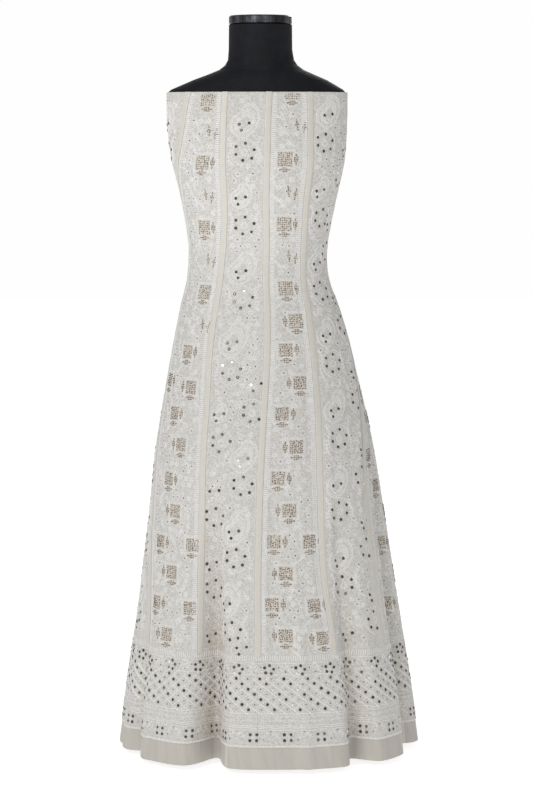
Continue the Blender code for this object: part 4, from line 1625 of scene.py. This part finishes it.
class GOWN_OT_lining(bpy.types.Operator):
    """The four gores of the sheer underskirt"""

    bl_idname = "gown.lining"
    bl_label = "Lining"

    def execute(self, context):
        sizes = context.scene.gown_sizes
        material = sheer_lining(context.scene.gown_colours)
        heights = np.linspace(LINING_HEM, LINING_TOP, 15)
        lift = -(sizes.cloth_wall + CLEAR)
        for number, (first, last) in enumerate(LINING_GORES[1:], start=1):
            start = self.seam_arcs(first, heights) + CLEAR / 2.0
            end = self.seam_arcs(last, heights) - CLEAR / 2.0
            shares = np.linspace(0.0, 1.0, int((last - first) * sizes.kali_columns) + 1)
            arcs = start[:, None] + (end - start)[:, None] * shares
            obj, width, length, area = cloth_shell(
                f"lining_{number}", arcs, heights, lift, sizes.lining_wall, material,
            )
            area = min(area, width * length)
        return {"FINISHED"}

    def seam_arcs(self, place, heights):
        """Where a lining seam runs: mid panel, carried on past seam 1 after a whole turn."""
        turns = 1.0 if place > KALIS + 1 else 0.0
        arcs = CLOTH.arc(np.full_like(heights, place - turns * KALIS), heights)
        return arcs + turns * CLOTH.girths(heights)


class GOWN_OT_whitework(bpy.types.Operator):
    """White thread: paisleys, sprays, frames, lattice, ladders and the worked hem"""

    bl_idname = "gown.whitework"
    bl_label = "Whitework"

    def execute(self, context):
        material = white_thread(context.scene.gown_colours)
        petals = cone_tree("sewn_petals", 4, 0.5, 0.0, 1.0)
        bars = sewn_tree(
            "sewn_bars", "GeometryNodeMeshCube", {},
            (("Size", "Size", "NodeSocketVector", (1.0, 1.0, 1.0)),),
        )
        for kali, work in gathered_work(context).items():
            mesh = cord_mesh(kali_name(kali, "cords"), work.cords, work.sizes.thread_height)
            finish_piece(kali_name(kali, "cords"), mesh, material)
            sew(kali_name(kali, "petals"), petals, work.petals, PETAL_LIFT, {}, material)
            sew(kali_name(kali, "ladders"), bars, work.bars, BAR_LIFT, {}, material)
        return {"FINISHED"}


class GOWN_OT_fields(bpy.types.Operator):
    """Net patches under the square and leaf fields"""

    bl_idname = "gown.fields"
    bl_label = "Fields"

    def execute(self, context):
        material = field_net(context.scene.gown_colours)
        for kali, work in gathered_work(context).items():
            if work.fields:
                name = kali_name(kali, "fields")
                finish_piece(name, field_mesh(name, work.fields), material)
        return {"FINISHED"}


class GOWN_OT_sequins(bpy.types.Operator):
    """Dark gilt sequins and seed beads"""

    bl_idname = "gown.sequins"
    bl_label = "Sequins and beads"

    def execute(self, context):
        colours = context.scene.gown_colours
        gilt = gilt_sequin(colours)
        glass = seed_bead(colours)
        sequins = cone_tree("sewn_sequins", 12, 0.5, 0.30, 0.16)
        seeds = cone_tree("sewn_seeds", 5, 0.5, 0.0, 0.55)
        for kali, work in gathered_work(context).items():
            seed = {"Seed": kali}
            sew(kali_name(kali, "sequins"), sequins, work.sequins, SEQUIN_LIFT, seed, gilt)
            sew(kali_name(kali, "seeds"), seeds, work.seeds, SEED_LIFT, seed, glass)
        return {"FINISHED"}


OPERATORS = (
    GOWN_OT_stage, GOWN_OT_form, GOWN_OT_kalis, GOWN_OT_bands, GOWN_OT_lining, GOWN_OT_whitework,
    GOWN_OT_fields, GOWN_OT_sequins,
)


class GOWN_PT_panel(bpy.types.Panel):
    """The gown's pieces, sizes and colours"""

    bl_idname = "GOWN_PT_panel"
    bl_label = "Anarkali gown"
    bl_space_type = "VIEW_3D"
    bl_region_type = "UI"
    bl_category = "Gown"

    def draw(self, context):
        for operator in OPERATORS:
            self.layout.operator(operator.bl_idname)
        for group in (context.scene.gown_sizes, context.scene.gown_colours):
            for name in group.__annotations__:
                self.layout.prop(group, name)


CLASSES = (GownSizes, GownColours, *OPERATORS, GOWN_PT_panel)


def register():
    for cls in CLASSES:
        bpy.utils.register_class(cls)
    bpy.types.Scene.gown_sizes = PointerProperty(type=GownSizes)
    bpy.types.Scene.gown_colours = PointerProperty(type=GownColours)


def unregister():
    del bpy.types.Scene.gown_colours
    del bpy.types.Scene.gown_sizes
    for cls in reversed(CLASSES):
        bpy.utils.unregister_class(cls)


def main():
    register()
    for operator in OPERATORS:
        group, name = operator.bl_idname.split(".")
        getattr(getattr(bpy.ops, group), name)()
    boxes = {"cad": CAD_BOX, "visual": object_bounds()}
    boxes = {name: [list(corner) for corner in box] for name, box in boxes.items()}


if __name__ == "__main__":
    main()
